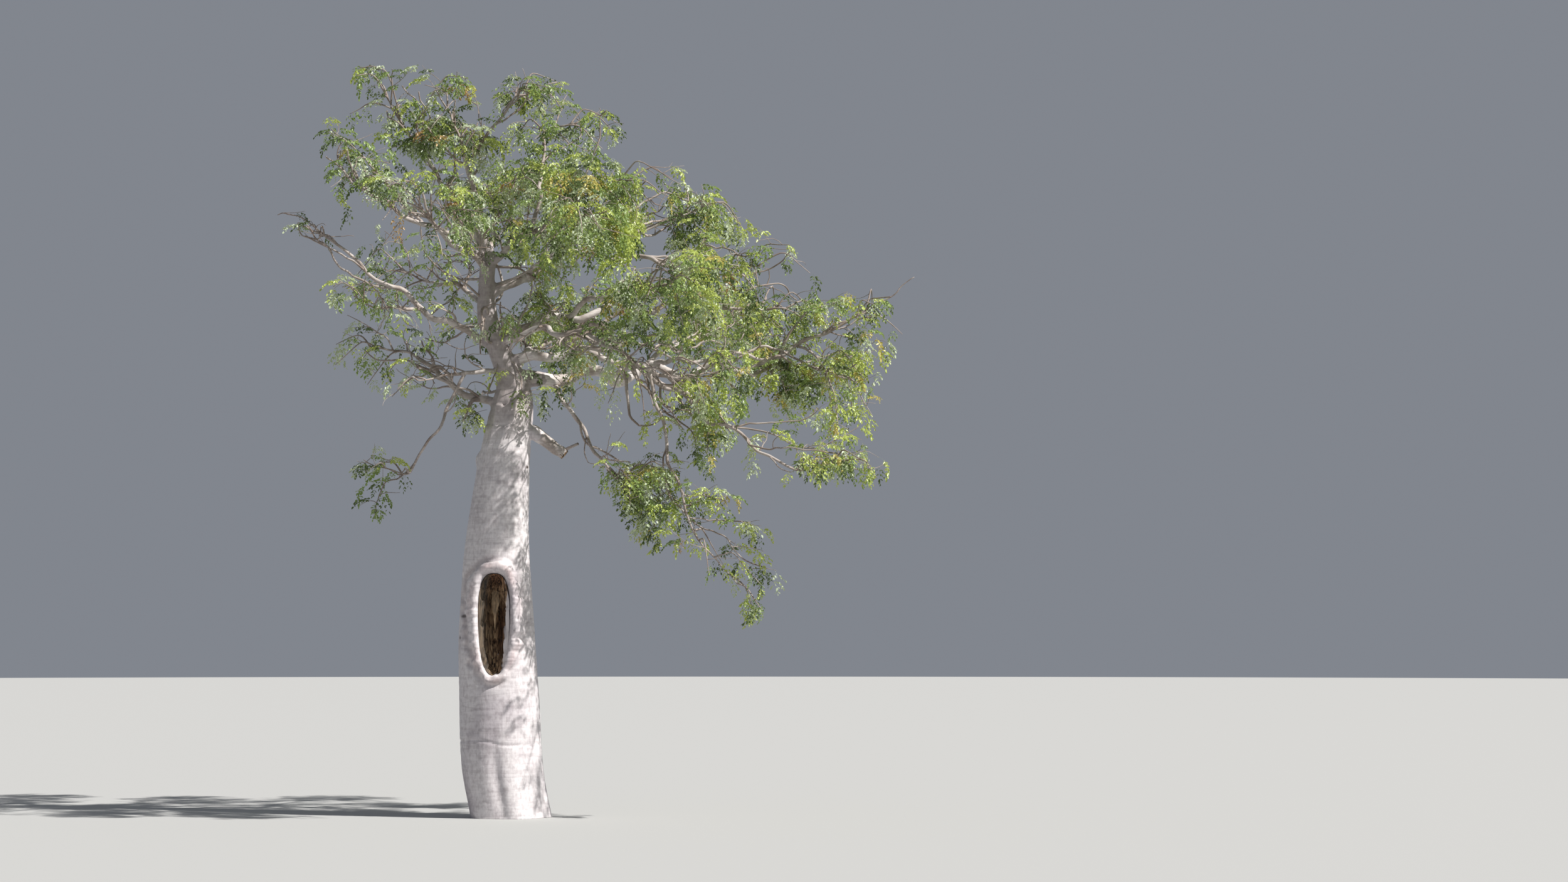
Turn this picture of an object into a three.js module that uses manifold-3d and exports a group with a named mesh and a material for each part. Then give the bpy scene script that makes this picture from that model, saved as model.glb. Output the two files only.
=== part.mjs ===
import * as THREE from "three";
import { mergeVertices } from "three/addons/utils/BufferGeometryUtils.js";
import Module from "manifold-3d";

const wasm = await Module();
wasm.setup();

// A ghost tree, the bottle-trunked moringa of dry rocky plains, rooted in the ground.
// Millimetres, +Z up. The origin is the middle of the flat cut through the trunk's foot,
// +X is the side that the crown leans to, and -Y is the side that the hollow in the trunk faces.

// Trunk: height, lean along X, lean along Y, radius. The last row is its upper fork.
const TRUNK = [
  [0, 0, 0, 302],
  [400, -60, 0, 314],
  [1000, -90, 0, 308],
  [1650, -112, 5, 282],
  [2250, -105, 10, 245],
  [2800, -58, 10, 204],
  [3200, 0, 5, 172],
  [3450, 12, 0, 128],
  [3700, -95, 10, 98],
  [3950, -190, 30, 86],
  [4250, -205, 45, 66],
  [4500, -185, 40, 62],
];
const TRUNK_TOP = TRUNK[TRUNK.length - 1][0];
const TRUNK_SIDES = 20;
const TRUNK_STEPS = 25;
const FLARE = 0.06;
const FLARE_HEIGHT = 260;
const ROOT_LOBES = 5;
const LOBE_DEPTH = 0.05;
const GROOVE_ANGLE = -104;
const OVAL = 0.025;
const OVAL_TURN = 900;

// Hollow in the trunk, and the rolled lip of bark that has healed round its mouth
const HOLLOW = { x: -145, z: 1517, halfWidth: 112, halfHeight: 410, depth: 250, taper: 0.3 };
const HOLLOW_SIDES = 16;
const HOLLOW_STEPS = 14;
const LIP_RADIUS = 46;
const LIP_SIDES = 8;
const LIP_STEPS = 22;

// Boughs: name, carrier, start (height on the trunk, or share along the carrying bough), reach in plan,
// heading in degrees from +X to +Y, rise, arch upward, sway to the left, radius at the butt and the tip
const BOUGHS = [
  ["bough_high_left", "trunk", 4440, 1020, -156, 510, -20, 0, 30, 12],
  ["bough_top_left", "trunk", 4480, 730, 171, 1080, 30, 30, 28, 11],
  ["bough_crest", "trunk", 4490, 245, -145, 810, 20, -20, 30, 14],
  ["bough_crest_right", "bough_crest", 0.88, 420, -21, 490, -25, 0, 16, 10],
  ["bough_high_right", "trunk", 4400, 900, -26, 540, 10, 0, 28, 12],
  ["bough_high_centre", "bough_high_right", 0.42, 365, 78, 835, 0, -40, 19, 10],
  ["bough_high_back", "trunk", 4450, 910, 88, 525, 60, 0, 26, 11],
  ["bough_high_front", "trunk", 4330, 985, -106, 250, 70, 0, 27, 11],
  ["bough_right_high", "trunk", 4150, 1510, 14, 655, 50, 40, 40, 14],
  ["bough_front_centre", "bough_right_high", 0.22, 1125, -67, 185, 60, 0, 24, 11],
  ["bough_right_shoulder", "bough_right_high", 0.5, 1245, -22, -165, 0, -50, 23, 11],
  ["bough_left_back", "trunk", 4060, 915, 124, 275, 60, 0, 24, 11],
  ["bough_right_arch", "trunk", 3830, 1985, 7, 235, 110, 60, 36, 13],
  ["bough_front_right", "bough_right_arch", 0.3, 1310, -63, 115, 60, 0, 24, 11],
  ["bough_left_long", "trunk", 3740, 1360, -171, 855, -75, 0, 32, 10],
  ["bough_left_lower", "bough_left_long", 0.45, 560, -122, -35, 0, 0, 17, 9],
  ["bough_left_inner", "trunk", 3570, 390, -157, -60, -10, 0, 26, 14],
  ["bough_left_low", "trunk", 3230, 805, 162, 430, -60, 0, 40, 15],
  ["bough_left_hanging", "bough_left_inner", 0.9, 460, -152, -790, 0, 40, 17, 9],
  ["bough_right_mid", "trunk", 3600, 1295, -17, -115, 130, 0, 44, 16],
  ["bough_right_low", "trunk", 3470, 2370, 8, 125, 15, 40, 56, 14],
  ["bough_right_tip", "bough_right_low", 0.78, 865, -12, 395, 0, 0, 24, 10],
  ["bough_front_low", "trunk", 3760, 1400, -44, -115, 130, 0, 30, 12],
  ["bough_right_bottom", "bough_right_mid", 0.85, 1255, -18, -815, -20, 0, 22, 10],
  ["bough_hanging_low", "bough_right_mid", 0.94, 380, -33, -1200, 0, -40, 19, 9],
  ["bough_hanging_centre", "bough_right_low", 0.14, 580, -32, -775, -30, 0, 20, 10],
  ["bough_back_low", "trunk", 3560, 1125, 69, 285, 90, 0, 34, 12],
  ["bough_back_right", "bough_right_low", 0.42, 1050, 60, 380, 60, 0, 26, 11],
  ["stub_right", "trunk", 3080, 450, -9, -205, 45, 0, 52, 34],
];
const FIRST_SEED = 11;
const CROOK = 0.03;
const CROOK_WAVE = 520;
const COLLAR = 0.35;
const COLLAR_LENGTH = 0.08;
const CHILD_SHARE = 0.9;
const BOUGH_SIDES = 5;
const BOUGH_STEPS_LEAST = 4;
const BOUGH_STEP = 160;
const JOIN_GAP = 0.3;

// Snapped twig that is left on the broken stub: share along it, reach, heading, rise, radii
const SNAPPED_TWIG = { at: 0.96, reach: 150, heading: -20, rise: 62, butt: 9, tip: 6 };

// Foliage masses: name, the bough that each grows on from, and its stem's reach in plan, heading and
// rise, and how far its twigs and leaves spread from the stem
const FOLIAGE = [
  ["foliage_high_left", "bough_high_left", 180, -144, 250, 400],
  ["foliage_top_left", "bough_top_left", 155, 168, 275, 400],
  ["foliage_crest", "bough_crest", 150, 151, 360, 400],
  ["foliage_crest_right", "bough_crest_right", 150, 17, 60, 430],
  ["foliage_high_right", "bough_high_right", 350, -12, 80, 510],
  ["foliage_high_centre", "bough_high_centre", 285, 31, 110, 460],
  ["foliage_high_back", "bough_high_back", 425, 68, 275, 590],
  ["foliage_high_front", "bough_high_front", 425, -111, 145, 570],
  ["foliage_right_high", "bough_right_high", 310, 28, 130, 540],
  ["foliage_front_centre", "bough_front_centre", 440, -80, 70, 590],
  ["foliage_right_shoulder", "bough_right_shoulder", 330, -18, 0, 560],
  ["foliage_left_back", "bough_left_back", 410, 135, 140, 580],
  ["foliage_right_arch", "bough_right_arch", 400, 20, 20, 540],
  ["foliage_front_right", "bough_front_right", 460, -52, 5, 590],
  ["foliage_left_long", "bough_left_long", 190, -170, 85, 260],
  ["foliage_left_lower", "bough_left_lower", 250, -128, 75, 430],
  ["foliage_left_inner", "bough_left_inner", 375, -148, -65, 350],
  ["foliage_left_low", "bough_left_low", 435, 161, 110, 430],
  ["foliage_left_hanging", "bough_left_hanging", 205, -153, 20, 260],
  ["foliage_right_mid", "bough_right_mid", 425, -23, -20, 510],
  ["foliage_right_low", "bough_right_low", 465, 25, -110, 510],
  ["foliage_right_tip", "bough_right_tip", 270, 0, 165, 400],
  ["foliage_front_low", "bough_front_low", 350, -54, -175, 540],
  ["foliage_right_bottom", "bough_right_bottom", 410, -21, 20, 460],
  ["foliage_hanging_low", "bough_hanging_low", 390, -17, -480, 400],
  ["foliage_hanging_centre", "bough_hanging_centre", 225, -31, -60, 500],
  ["foliage_back_low", "bough_back_low", 400, 79, 215, 590],
  ["foliage_back_right", "bough_back_right", 455, 62, 165, 590],
];
const STEM_STEPS = 4;
const STEM_BUTT = 9;
const STEM_TIP = 6;
const TWIG_SPREAD = 58;
const TWIG_FIRST = 0.12;
const TWIG_BUTT = 2.8;
const TWIG_TIP = 1.8;
const TWIG_SHORTEST = 0.3;
const TWIG_LONGEST = 0.55;
const GOLDEN_ANGLE = Math.PI * (3 - Math.sqrt(5));
const TWIG_ROLL = 0.5;
const TWIG_FORWARD = 0.5;
const TWIG_OUT = 1.1;
const TWIG_LIFT = 0.1;

// A spray is a long flat blade with three fingers: its outline's corners as shares of its length and
// of its half width, from the root round the right finger, the middle one and the left one
const SPRAY_OUTLINE = [[0, 0], [0.52, 1], [0.68, 0.42], [1, 0.06], [0.64, -0.38], [0.6, -0.94]];
const SPRAY_MIDDLE = 0.45;
const SPRAY_LENGTHS = [520, 430, 340, 260];
const SPRAY_WIDTH = 0.72;
const SPRAY_THICKNESS = 12;
const SPRAY_SUNK = 90;
const SPRAY_SCATTER = 0.6;
const SPRAY_HANG = [0.5, 1.3];
const SPRAY_ROLL = 0.9;
const SPACE_MARGIN = 10;
const LIMB_MARGIN = 8;

// Colours and finishes
const BARK_PALE = 0xd6cfc6;
const BARK_GREY = 0xb3a79b;
const BARK_ROUGHNESS = 0.7;
const PALE_FROM = 40;
const LEAF_GREENS = [0x6f8240, 0x879a4c, 0x5d7238, 0x97a45c];
const LEAF_ROUGHNESS = 0.6;

// A row of evenly likely numbers from 0 to 1 that is the same each time for one seed
function seeded(seed) {
  let state = seed;
  return () => {
    state = (state * 1664525 + 1013904223) % 4294967296;
    return state / 4294967296;
  };
}

// A value of the trunk's table at any height, on a smooth curve through its rows
function trunkValue(height, column) {
  const last = TRUNK.length - 1;
  let i = 0;
  while (i < last - 1 && height > TRUNK[i + 1][0]) i++;
  const before = TRUNK[Math.max(i - 1, 0)];
  const low = TRUNK[i];
  const high = TRUNK[i + 1];
  const after = TRUNK[Math.min(i + 2, last)];
  const span = high[0] - low[0];
  const u = (height - low[0]) / span;
  const slopeLow = ((high[column] - before[column]) / (high[0] - before[0])) * span;
  const slopeHigh = ((after[column] - low[column]) / (after[0] - low[0])) * span;
  const u2 = u * u;
  const u3 = u2 * u;
  return (2 * u3 - 3 * u2 + 1) * low[column] + (u3 - 2 * u2 + u) * slopeLow
    + (3 * u2 - 2 * u3) * high[column] + (u3 - u2) * slopeHigh;
}

function trunkPoint(height) {
  return new THREE.Vector3(trunkValue(height, 1), trunkValue(height, 2), height);
}

// The trunk's radius, with the root lobes that swell its foot and a slow oval twist above them
function trunkRadius(height, angle) {
  const foot = Math.exp(-height / FLARE_HEIGHT);
  const groove = THREE.MathUtils.degToRad(GROOVE_ANGLE);
  const lobes = -LOBE_DEPTH * Math.cos(ROOT_LOBES * (angle - groove));
  const oval = OVAL * Math.sin(2 * angle + height / OVAL_TURN);
  return trunkValue(height, 3) * (1 + (FLARE + lobes) * foot + oval);
}

// A bough's middle line: straight in plan but for its sway, arched, and crooked along its length
class BoughLine extends THREE.Curve {
  constructor(start, reach, heading, rise, arch, sway, seed) {
    super();
    const random = seeded(seed);
    this.start = start;
    this.ahead = new THREE.Vector3(1, 0, 0).applyAxisAngle(new THREE.Vector3(0, 0, 1), heading);
    this.left = new THREE.Vector3(-this.ahead.y, this.ahead.x, 0);
    this.reach = reach;
    this.rise = rise;
    this.arch = arch;
    this.sway = sway;
    this.size = Math.hypot(reach, rise);
    this.sidePhase = random() * 2 * Math.PI;
    this.liftPhase = random() * 2 * Math.PI;
  }

  getPoint(t, target = new THREE.Vector3()) {
    const swell = Math.sin(Math.PI * t);
    const crook = CROOK * this.size * swell;
    const wave = (2 * Math.PI * this.size * t) / CROOK_WAVE;
    const side = this.sway * swell + crook * Math.sin(wave + this.sidePhase);
    const lift = this.rise * t + this.arch * swell + crook * Math.sin(wave + this.liftPhase);
    target.copy(this.start).addScaledVector(this.ahead, this.reach * t).addScaledVector(this.left, side);
    target.z += lift;
    return target;
  }
}

// A closed geometry as a solid, its shared corners merged
function solid(geometry) {
  geometry.deleteAttribute("normal");
  geometry.deleteAttribute("uv");
  const merged = mergeVertices(geometry, 0.001);
  const vertProperties = new Float32Array(merged.attributes.position.array);
  const triVerts = new Uint32Array(merged.index.array);
  return new wasm.Manifold(new wasm.Mesh({ numProp: 3, vertProperties, triVerts }));
}

// The largest body of a solid, so that scraps and sealed pockets are dropped
function largest(body) {
  return body.decompose().reduce((a, b) => (b.volume() > a.volume() ? b : a));
}

// The place of a cylinder's corner: which ring it is on, its angle round the axis, and 0 on the axis
function onRing(positions, i, sides, steps) {
  const x = positions.getX(i);
  const z = positions.getZ(i);
  const side = Math.round((Math.atan2(x, z) / (2 * Math.PI)) * sides);
  return {
    share: Math.round((positions.getY(i) + 0.5) * steps) / steps,
    angle: (2 * Math.PI * ((side + sides) % sides)) / sides,
    rim: Math.hypot(x, z) > 0.5 ? 1 : 0,
  };
}

// A branch: a line taken as straight pieces between its rings, so that what grows from it starts in it
function branch(line, steps, radius) {
  const points = line.getPoints(steps);
  const point = (t) => {
    const i = Math.min(Math.floor(t * steps), steps - 1);
    return points[i].clone().lerp(points[i + 1], t * steps - i);
  };
  return { line, steps, radius, points, point };
}

// A tube round a branch, its rings square to the line
function tube({ line, steps, radius, points }, sides, extra = 0) {
  const { normals, binormals } = line.computeFrenetFrames(steps, false);
  const geometry = new THREE.CylinderGeometry(1, 1, 1, sides, steps);
  const positions = geometry.attributes.position;
  for (let i = 0; i < positions.count; i++) {
    const { share, angle, rim } = onRing(positions, i, sides, steps);
    const ring = Math.round(share * steps);
    const r = rim * (radius(share) + extra);
    const place = points[ring].clone();
    place.addScaledVector(normals[ring], r * Math.cos(angle));
    place.addScaledVector(binormals[ring], r * Math.sin(angle));
    positions.setXYZ(i, place.x, place.y, place.z);
  }
  return solid(geometry);
}

// The trunk's column, with level rings so that its foot is cut flat at the ground
function trunkColumn(extra) {
  const geometry = new THREE.CylinderGeometry(1, 1, 1, TRUNK_SIDES, TRUNK_STEPS);
  const positions = geometry.attributes.position;
  for (let i = 0; i < positions.count; i++) {
    const { share, angle, rim } = onRing(positions, i, TRUNK_SIDES, TRUNK_STEPS);
    const height = share * TRUNK_TOP;
    const r = rim * (trunkRadius(height, angle) + extra);
    const middle = trunkPoint(height);
    positions.setXYZ(i, middle.x + r * Math.cos(angle), middle.y + r * Math.sin(angle), height);
  }
  return solid(geometry);
}

// The hollow's mouth is an upright oval, narrower towards its foot
function mouthWidth(up) {
  return HOLLOW.halfWidth * (1 + HOLLOW.taper * Math.min(up, 0));
}

// The trunk's front face at a place across it and a height
function faceAt(x, z) {
  const middle = trunkPoint(z);
  const r = trunkRadius(z, -Math.PI / 2);
  return middle.y - Math.sqrt(r * r - (x - middle.x) ** 2);
}

function hollowLip() {
  const geometry = new THREE.TorusGeometry(1, 0.5, LIP_SIDES, LIP_STEPS);
  const positions = geometry.attributes.position;
  for (let i = 0; i < positions.count; i++) {
    const turn = Math.atan2(positions.getY(i), positions.getX(i)) / (2 * Math.PI);
    const step = (Math.round(turn * LIP_STEPS) + LIP_STEPS) % LIP_STEPS;
    const angle = (2 * Math.PI * step) / LIP_STEPS;
    const up = Math.sin(angle);
    const width = mouthWidth(up);
    const away = new THREE.Vector2(Math.cos(angle) / width, up / HOLLOW.halfHeight).normalize();
    const band = 2 * LIP_RADIUS * (Math.hypot(positions.getX(i), positions.getY(i)) - 0.5);
    const x = HOLLOW.x + width * Math.cos(angle) + band * away.x;
    const z = HOLLOW.z + HOLLOW.halfHeight * up + band * away.y;
    positions.setXYZ(i, x, faceAt(x, z) - 2 * LIP_RADIUS * positions.getZ(i), z);
  }
  return solid(geometry);
}

function hollowSpace() {
  const geometry = new THREE.SphereGeometry(1, HOLLOW_SIDES, HOLLOW_STEPS);
  geometry.rotateX(Math.PI / 2);
  const positions = geometry.attributes.position;
  const face = faceAt(HOLLOW.x, HOLLOW.z);
  for (let i = 0; i < positions.count; i++) {
    const up = positions.getZ(i);
    const x = HOLLOW.x + positions.getX(i) * mouthWidth(up);
    const y = face + positions.getY(i) * HOLLOW.depth;
    positions.setXYZ(i, x, y, HOLLOW.z + up * HOLLOW.halfHeight);
  }
  return solid(geometry);
}

// Boughs: the line and radius of each, worked out in order, so that a bough finds its carrier
const limbs = new Map();
BOUGHS.forEach(([name, carrier, at, reach, heading, rise, arch, sway, butt, tip], index) => {
  const parent = limbs.get(carrier);
  const start = parent ? parent.point(at) : trunkPoint(at);
  const angle = THREE.MathUtils.degToRad(heading);
  const line = new BoughLine(start, reach, angle, rise, arch, sway, FIRST_SEED + index);
  const thickest = parent ? Math.min(butt, CHILD_SHARE * parent.radius(at)) : butt;
  const collar = parent ? 0 : COLLAR;
  const radius = (t) => (thickest + (tip - thickest) * t) * (1 + collar * Math.exp(-t / COLLAR_LENGTH));
  const steps = Math.max(BOUGH_STEPS_LEAST, Math.round(line.getLength() / BOUGH_STEP));
  limbs.set(name, branch(line, steps, radius));
});

// Solids of the trunk and the boughs: each is cut back from those before it, a join gap clear of them.
// The space that they take up, with a margin, is kept free of foliage.
const solids = new Map();
const grown = [];
const taken = [];

function keepLimb(name, body, wider) {
  solids.set(name, largest(grown.reduce((rest, other) => rest.subtract(other), body)));
  grown.push(wider(JOIN_GAP));
  taken.push(wider(LIMB_MARGIN));
}

keepLimb("trunk", trunkColumn(0).add(hollowLip()).subtract(hollowSpace()), trunkColumn);

function snappedTwig(stub) {
  const { at, reach, heading, rise, butt, tip } = SNAPPED_TWIG;
  const angle = THREE.MathUtils.degToRad(heading);
  const line = new BoughLine(stub.point(at), reach, angle, rise, 0, 0, FIRST_SEED);
  return tube(branch(line, 2, (t) => butt + (tip - butt) * t), BOUGH_SIDES);
}

for (const [name] of BOUGHS) {
  const limb = limbs.get(name);
  const body = tube(limb, BOUGH_SIDES);
  const whole = name === "stub_right" ? body.add(snappedTwig(limb)) : body;
  keepLimb(name, whole, (margin) => tube(limb, BOUGH_SIDES, margin));
}

// Foliage: a stem grows on from each bough's tip, and bears twigs at the golden angle that end in sprays
const stems = FOLIAGE.map(([name, carrier, reach, heading, rise, spread]) => {
  const bough = limbs.get(carrier).line;
  const ahead = bough.getTangent(1);
  const tip = bough.getPoint(1);
  const angle = THREE.MathUtils.degToRad(heading);
  const end = tip.clone().add(new THREE.Vector3(reach * Math.cos(angle), reach * Math.sin(angle), rise));
  const start = tip.clone().addScaledVector(ahead, JOIN_GAP);
  const early = start.clone().addScaledVector(ahead, start.distanceTo(end) / 3);
  const late = end.clone().lerp(start, 1 / 3);
  const line = new THREE.CubicBezierCurve3(start, early, late, end);
  return { name, spread, ...branch(line, STEM_STEPS, (t) => STEM_BUTT + (STEM_TIP - STEM_BUTT) * t) };
});

// Distance from a place to a row of points joined by straight pieces
function distanceTo(place, points) {
  let nearest = Infinity;
  const near = new THREE.Vector3();
  for (let i = 1; i < points.length; i++) {
    new THREE.Line3(points[i - 1], points[i]).closestPointToPoint(place, true, near);
    nearest = Math.min(nearest, near.distanceTo(place));
  }
  return nearest;
}

// Whether a place is in its own mass's space: near its stem, nearer to it than to any other stem, and
// well above the ground
function inSpace(place, own) {
  const distance = distanceTo(place, own.points);
  if (distance > own.spread || place.z < own.spread) return false;
  return stems.every((other) => other === own || distanceTo(place, other.points) > distance + SPACE_MARGIN);
}

// A twig leaves the stem outward and forward; the last one goes straight on from the stem's tip
function twigLine(own, share, index, random) {
  const at = TWIG_FIRST + (1 - TWIG_FIRST) * share;
  const ahead = own.line.getTangent(at);
  const level = new THREE.Vector3(-ahead.y, ahead.x, 0).normalize();
  const out = level.applyAxisAngle(ahead, index * GOLDEN_ANGLE + random() * TWIG_ROLL);
  const way = out.multiplyScalar(TWIG_OUT - at).addScaledVector(ahead, TWIG_FORWARD);
  way.z += TWIG_LIFT;
  const size = own.spread * (TWIG_SHORTEST + (TWIG_LONGEST - TWIG_SHORTEST) * random());
  const start = own.point(at);
  return new THREE.LineCurve3(start, start.clone().addScaledVector(way.normalize(), size));
}

// A spray of leaves on the end of a twig, its root sunk in over the twig's tip
function spray(tip, way, roll, size) {
  const across = new THREE.Vector3(way.y, -way.x, 0).normalize().applyAxisAngle(way, roll);
  const up = new THREE.Vector3().crossVectors(across, way);
  const root = tip.clone().addScaledVector(way, -SPRAY_SUNK);
  const corners = SPRAY_OUTLINE.map(([along, aside]) => (
    root.clone().addScaledVector(way, along * size).addScaledVector(across, aside * size * SPRAY_WIDTH / 2)
  ));
  const geometry = new THREE.SphereGeometry(1, corners.length, 2);
  const positions = geometry.attributes.position;
  for (let i = 0; i < positions.count; i++) {
    const height = Math.round(positions.getY(i));
    const turn = Math.atan2(positions.getZ(i), -positions.getX(i)) / (2 * Math.PI);
    const corner = (Math.round(turn * corners.length) + corners.length) % corners.length;
    const middle = root.clone().addScaledVector(way, SPRAY_MIDDLE * size);
    const point = height ? middle.addScaledVector(up, (height * SPRAY_THICKNESS) / 2) : corners[corner];
    positions.setXYZ(i, point.x, point.y, point.z);
  }
  return { geometry, corners };
}

function foliage(own, index) {
  const random = seeded(FIRST_SEED * 100 + index);
  let body = tube(own, 3);
  const twigs = Math.round(own.spread / TWIG_SPREAD);
  for (let i = 0; i < twigs; i++) {
    const line = twigLine(own, i / (twigs - 1), i, random);
    const way = line.getTangent(1);
    way.addScaledVector(new THREE.Vector3(random() - 0.5, random() - 0.5, 0), SPRAY_SCATTER);
    way.z -= THREE.MathUtils.lerp(...SPRAY_HANG, random());
    const roll = (random() - 0.5) * 2 * SPRAY_ROLL;
    const tries = SPRAY_LENGTHS.map((size) => spray(line.getPoint(1), way.normalize(), roll, size));
    const fitting = tries.find(({ corners }) => corners.every((corner) => inSpace(corner, own)));
    if (fitting && inSpace(line.getPoint(1), own)) {
      const twig = tube(branch(line, 1, (t) => TWIG_BUTT + (TWIG_TIP - TWIG_BUTT) * t), 3);
      const piece = twig.add(solid(fitting.geometry));
      if (taken.every((other) => piece.intersect(other).isEmpty())) body = body.add(piece);
    }
  }
  return largest(body);
}

// The tree
const tree = new THREE.Group();

function addNode(name, body, color, roughness) {
  const mesh = body.getMesh();
  const geometry = new THREE.BufferGeometry();
  geometry.setAttribute("position", new THREE.BufferAttribute(mesh.vertProperties, 3));
  geometry.setIndex(new THREE.BufferAttribute(mesh.triVerts, 1));
  geometry.computeVertexNormals();
  const node = new THREE.Mesh(geometry, new THREE.MeshStandardMaterial({ color, roughness }));
  node.name = name;
  tree.add(node);
}

for (const [name, body] of solids) {
  const thin = limbs.has(name) && limbs.get(name).radius(0) < PALE_FROM;
  addNode(name, body, thin ? BARK_GREY : BARK_PALE, BARK_ROUGHNESS);
}

stems.forEach((own, index) => {
  const body = foliage(own, index);
  taken.push(body);
  addNode(own.name, body, LEAF_GREENS[index % LEAF_GREENS.length], LEAF_ROUGHNESS);
});

export default tree;
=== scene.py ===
import math

import bpy
import numpy as np
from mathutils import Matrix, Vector, noise


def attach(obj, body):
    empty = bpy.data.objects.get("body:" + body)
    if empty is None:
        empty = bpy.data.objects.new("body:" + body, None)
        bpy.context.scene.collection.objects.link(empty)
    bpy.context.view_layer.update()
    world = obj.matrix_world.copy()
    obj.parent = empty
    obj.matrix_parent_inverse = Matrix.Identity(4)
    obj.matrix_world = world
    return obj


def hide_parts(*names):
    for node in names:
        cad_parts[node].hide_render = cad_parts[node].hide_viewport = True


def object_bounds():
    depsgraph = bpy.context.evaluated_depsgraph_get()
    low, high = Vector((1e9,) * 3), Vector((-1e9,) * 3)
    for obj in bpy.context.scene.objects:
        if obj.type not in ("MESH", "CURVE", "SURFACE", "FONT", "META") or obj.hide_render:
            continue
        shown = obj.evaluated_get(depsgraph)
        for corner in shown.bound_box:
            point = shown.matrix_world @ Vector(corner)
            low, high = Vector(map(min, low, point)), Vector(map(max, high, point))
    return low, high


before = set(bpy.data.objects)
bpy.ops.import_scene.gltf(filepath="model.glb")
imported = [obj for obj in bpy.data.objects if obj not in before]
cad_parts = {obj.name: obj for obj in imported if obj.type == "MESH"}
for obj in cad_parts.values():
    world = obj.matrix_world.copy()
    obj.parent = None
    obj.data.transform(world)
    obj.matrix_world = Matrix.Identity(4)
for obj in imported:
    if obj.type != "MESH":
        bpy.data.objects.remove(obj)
cad_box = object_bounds()

# The trunk's column. The real one is a smooth water-holding bottle of pale bark, widest a step above
# the ground, with a lobed foot, and it narrows to a knob where the top boughs part. It is wrapped
# from a sheet of faces, runs a little below the ground for now, and is cut level later.
TRUNK = [
    # height, lean along X, lean along Y, radius
    (0.0, 0.0, 0.0, 0.302),
    (0.4, -0.06, 0.0, 0.314),
    (1.0, -0.09, 0.0, 0.308),
    (1.65, -0.112, 0.005, 0.282),
    (2.25, -0.105, 0.01, 0.245),
    (2.8, -0.058, 0.01, 0.204),
    (3.2, 0.0, 0.005, 0.172),
    (3.45, 0.012, 0.0, 0.128),
    (3.7, -0.095, 0.01, 0.098),
    (3.95, -0.19, 0.03, 0.086),
    (4.25, -0.205, 0.045, 0.066),
    (4.5, -0.185, 0.04, 0.062),
]
TRUNK_SIDES = 96
TRUNK_RINGS = 220
TRUNK_BELOW = 0.05
KNOB_FROM = 4.42
KNOB_TOP = 4.54
FLARE = 0.06
FLARE_HEIGHT = 0.26
ROOT_LOBES = 5
LOBE_DEPTH = 0.05
GROOVE_ANGLE = math.radians(-104)
OVAL = 0.025
OVAL_TURN = 0.9


def trunk_value(height, column):
    last = len(TRUNK) - 1
    i = 0
    while i < last - 1 and height > TRUNK[i + 1][0]:
        i += 1
    before = TRUNK[max(i - 1, 0)]
    low = TRUNK[i]
    high = TRUNK[i + 1]
    after = TRUNK[min(i + 2, last)]
    span = high[0] - low[0]
    u = (height - low[0]) / span
    slope_low = (high[column] - before[column]) / (high[0] - before[0]) * span
    slope_high = (after[column] - low[column]) / (after[0] - low[0]) * span
    return (
        (2 * u**3 - 3 * u**2 + 1) * low[column]
        + (u**3 - 2 * u**2 + u) * slope_low
        + (3 * u**2 - 2 * u**3) * high[column]
        + (u**3 - u**2) * slope_high
    )


def trunk_point(height):
    return np.array([trunk_value(height, 1), trunk_value(height, 2), height])


def trunk_radius(height, angle):
    foot = math.exp(-height / FLARE_HEIGHT)
    lobes = -LOBE_DEPTH * math.cos(ROOT_LOBES * (angle - GROOVE_ANGLE))
    oval = OVAL * math.sin(2 * angle + height / OVAL_TURN)
    return trunk_value(height, 3) * (1 + (FLARE + lobes) * foot + oval)


def only(obj):
    bpy.ops.object.select_all(action="DESELECT")
    obj.select_set(True)
    bpy.context.view_layer.objects.active = obj


def take_vertices(obj):
    places = np.empty(len(obj.data.vertices) * 3)
    obj.data.vertices.foreach_get("co", places)
    return places.reshape(-1, 3)


def put_vertices(obj, places):
    obj.data.vertices.foreach_set("co", np.asarray(places, np.float32).ravel())
    obj.data.update()


def held(value, low=0, high=1):
    """A value held between two limits."""
    return min(max(value, low), high)


def noise_at(x, y, z, level, upright):
    """Smooth noise about nought, so many swells to the metre along the level and upright."""
    return noise.noise(Vector((x * level, y * level, z * upright)))


def apply_modifier(obj, kind, **values):
    only(obj)
    modifier = obj.modifiers.new(kind.lower(), kind)
    for name, value in values.items():
        setattr(modifier, name, value)
    bpy.ops.object.modifier_apply(modifier=modifier.name)


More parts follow.
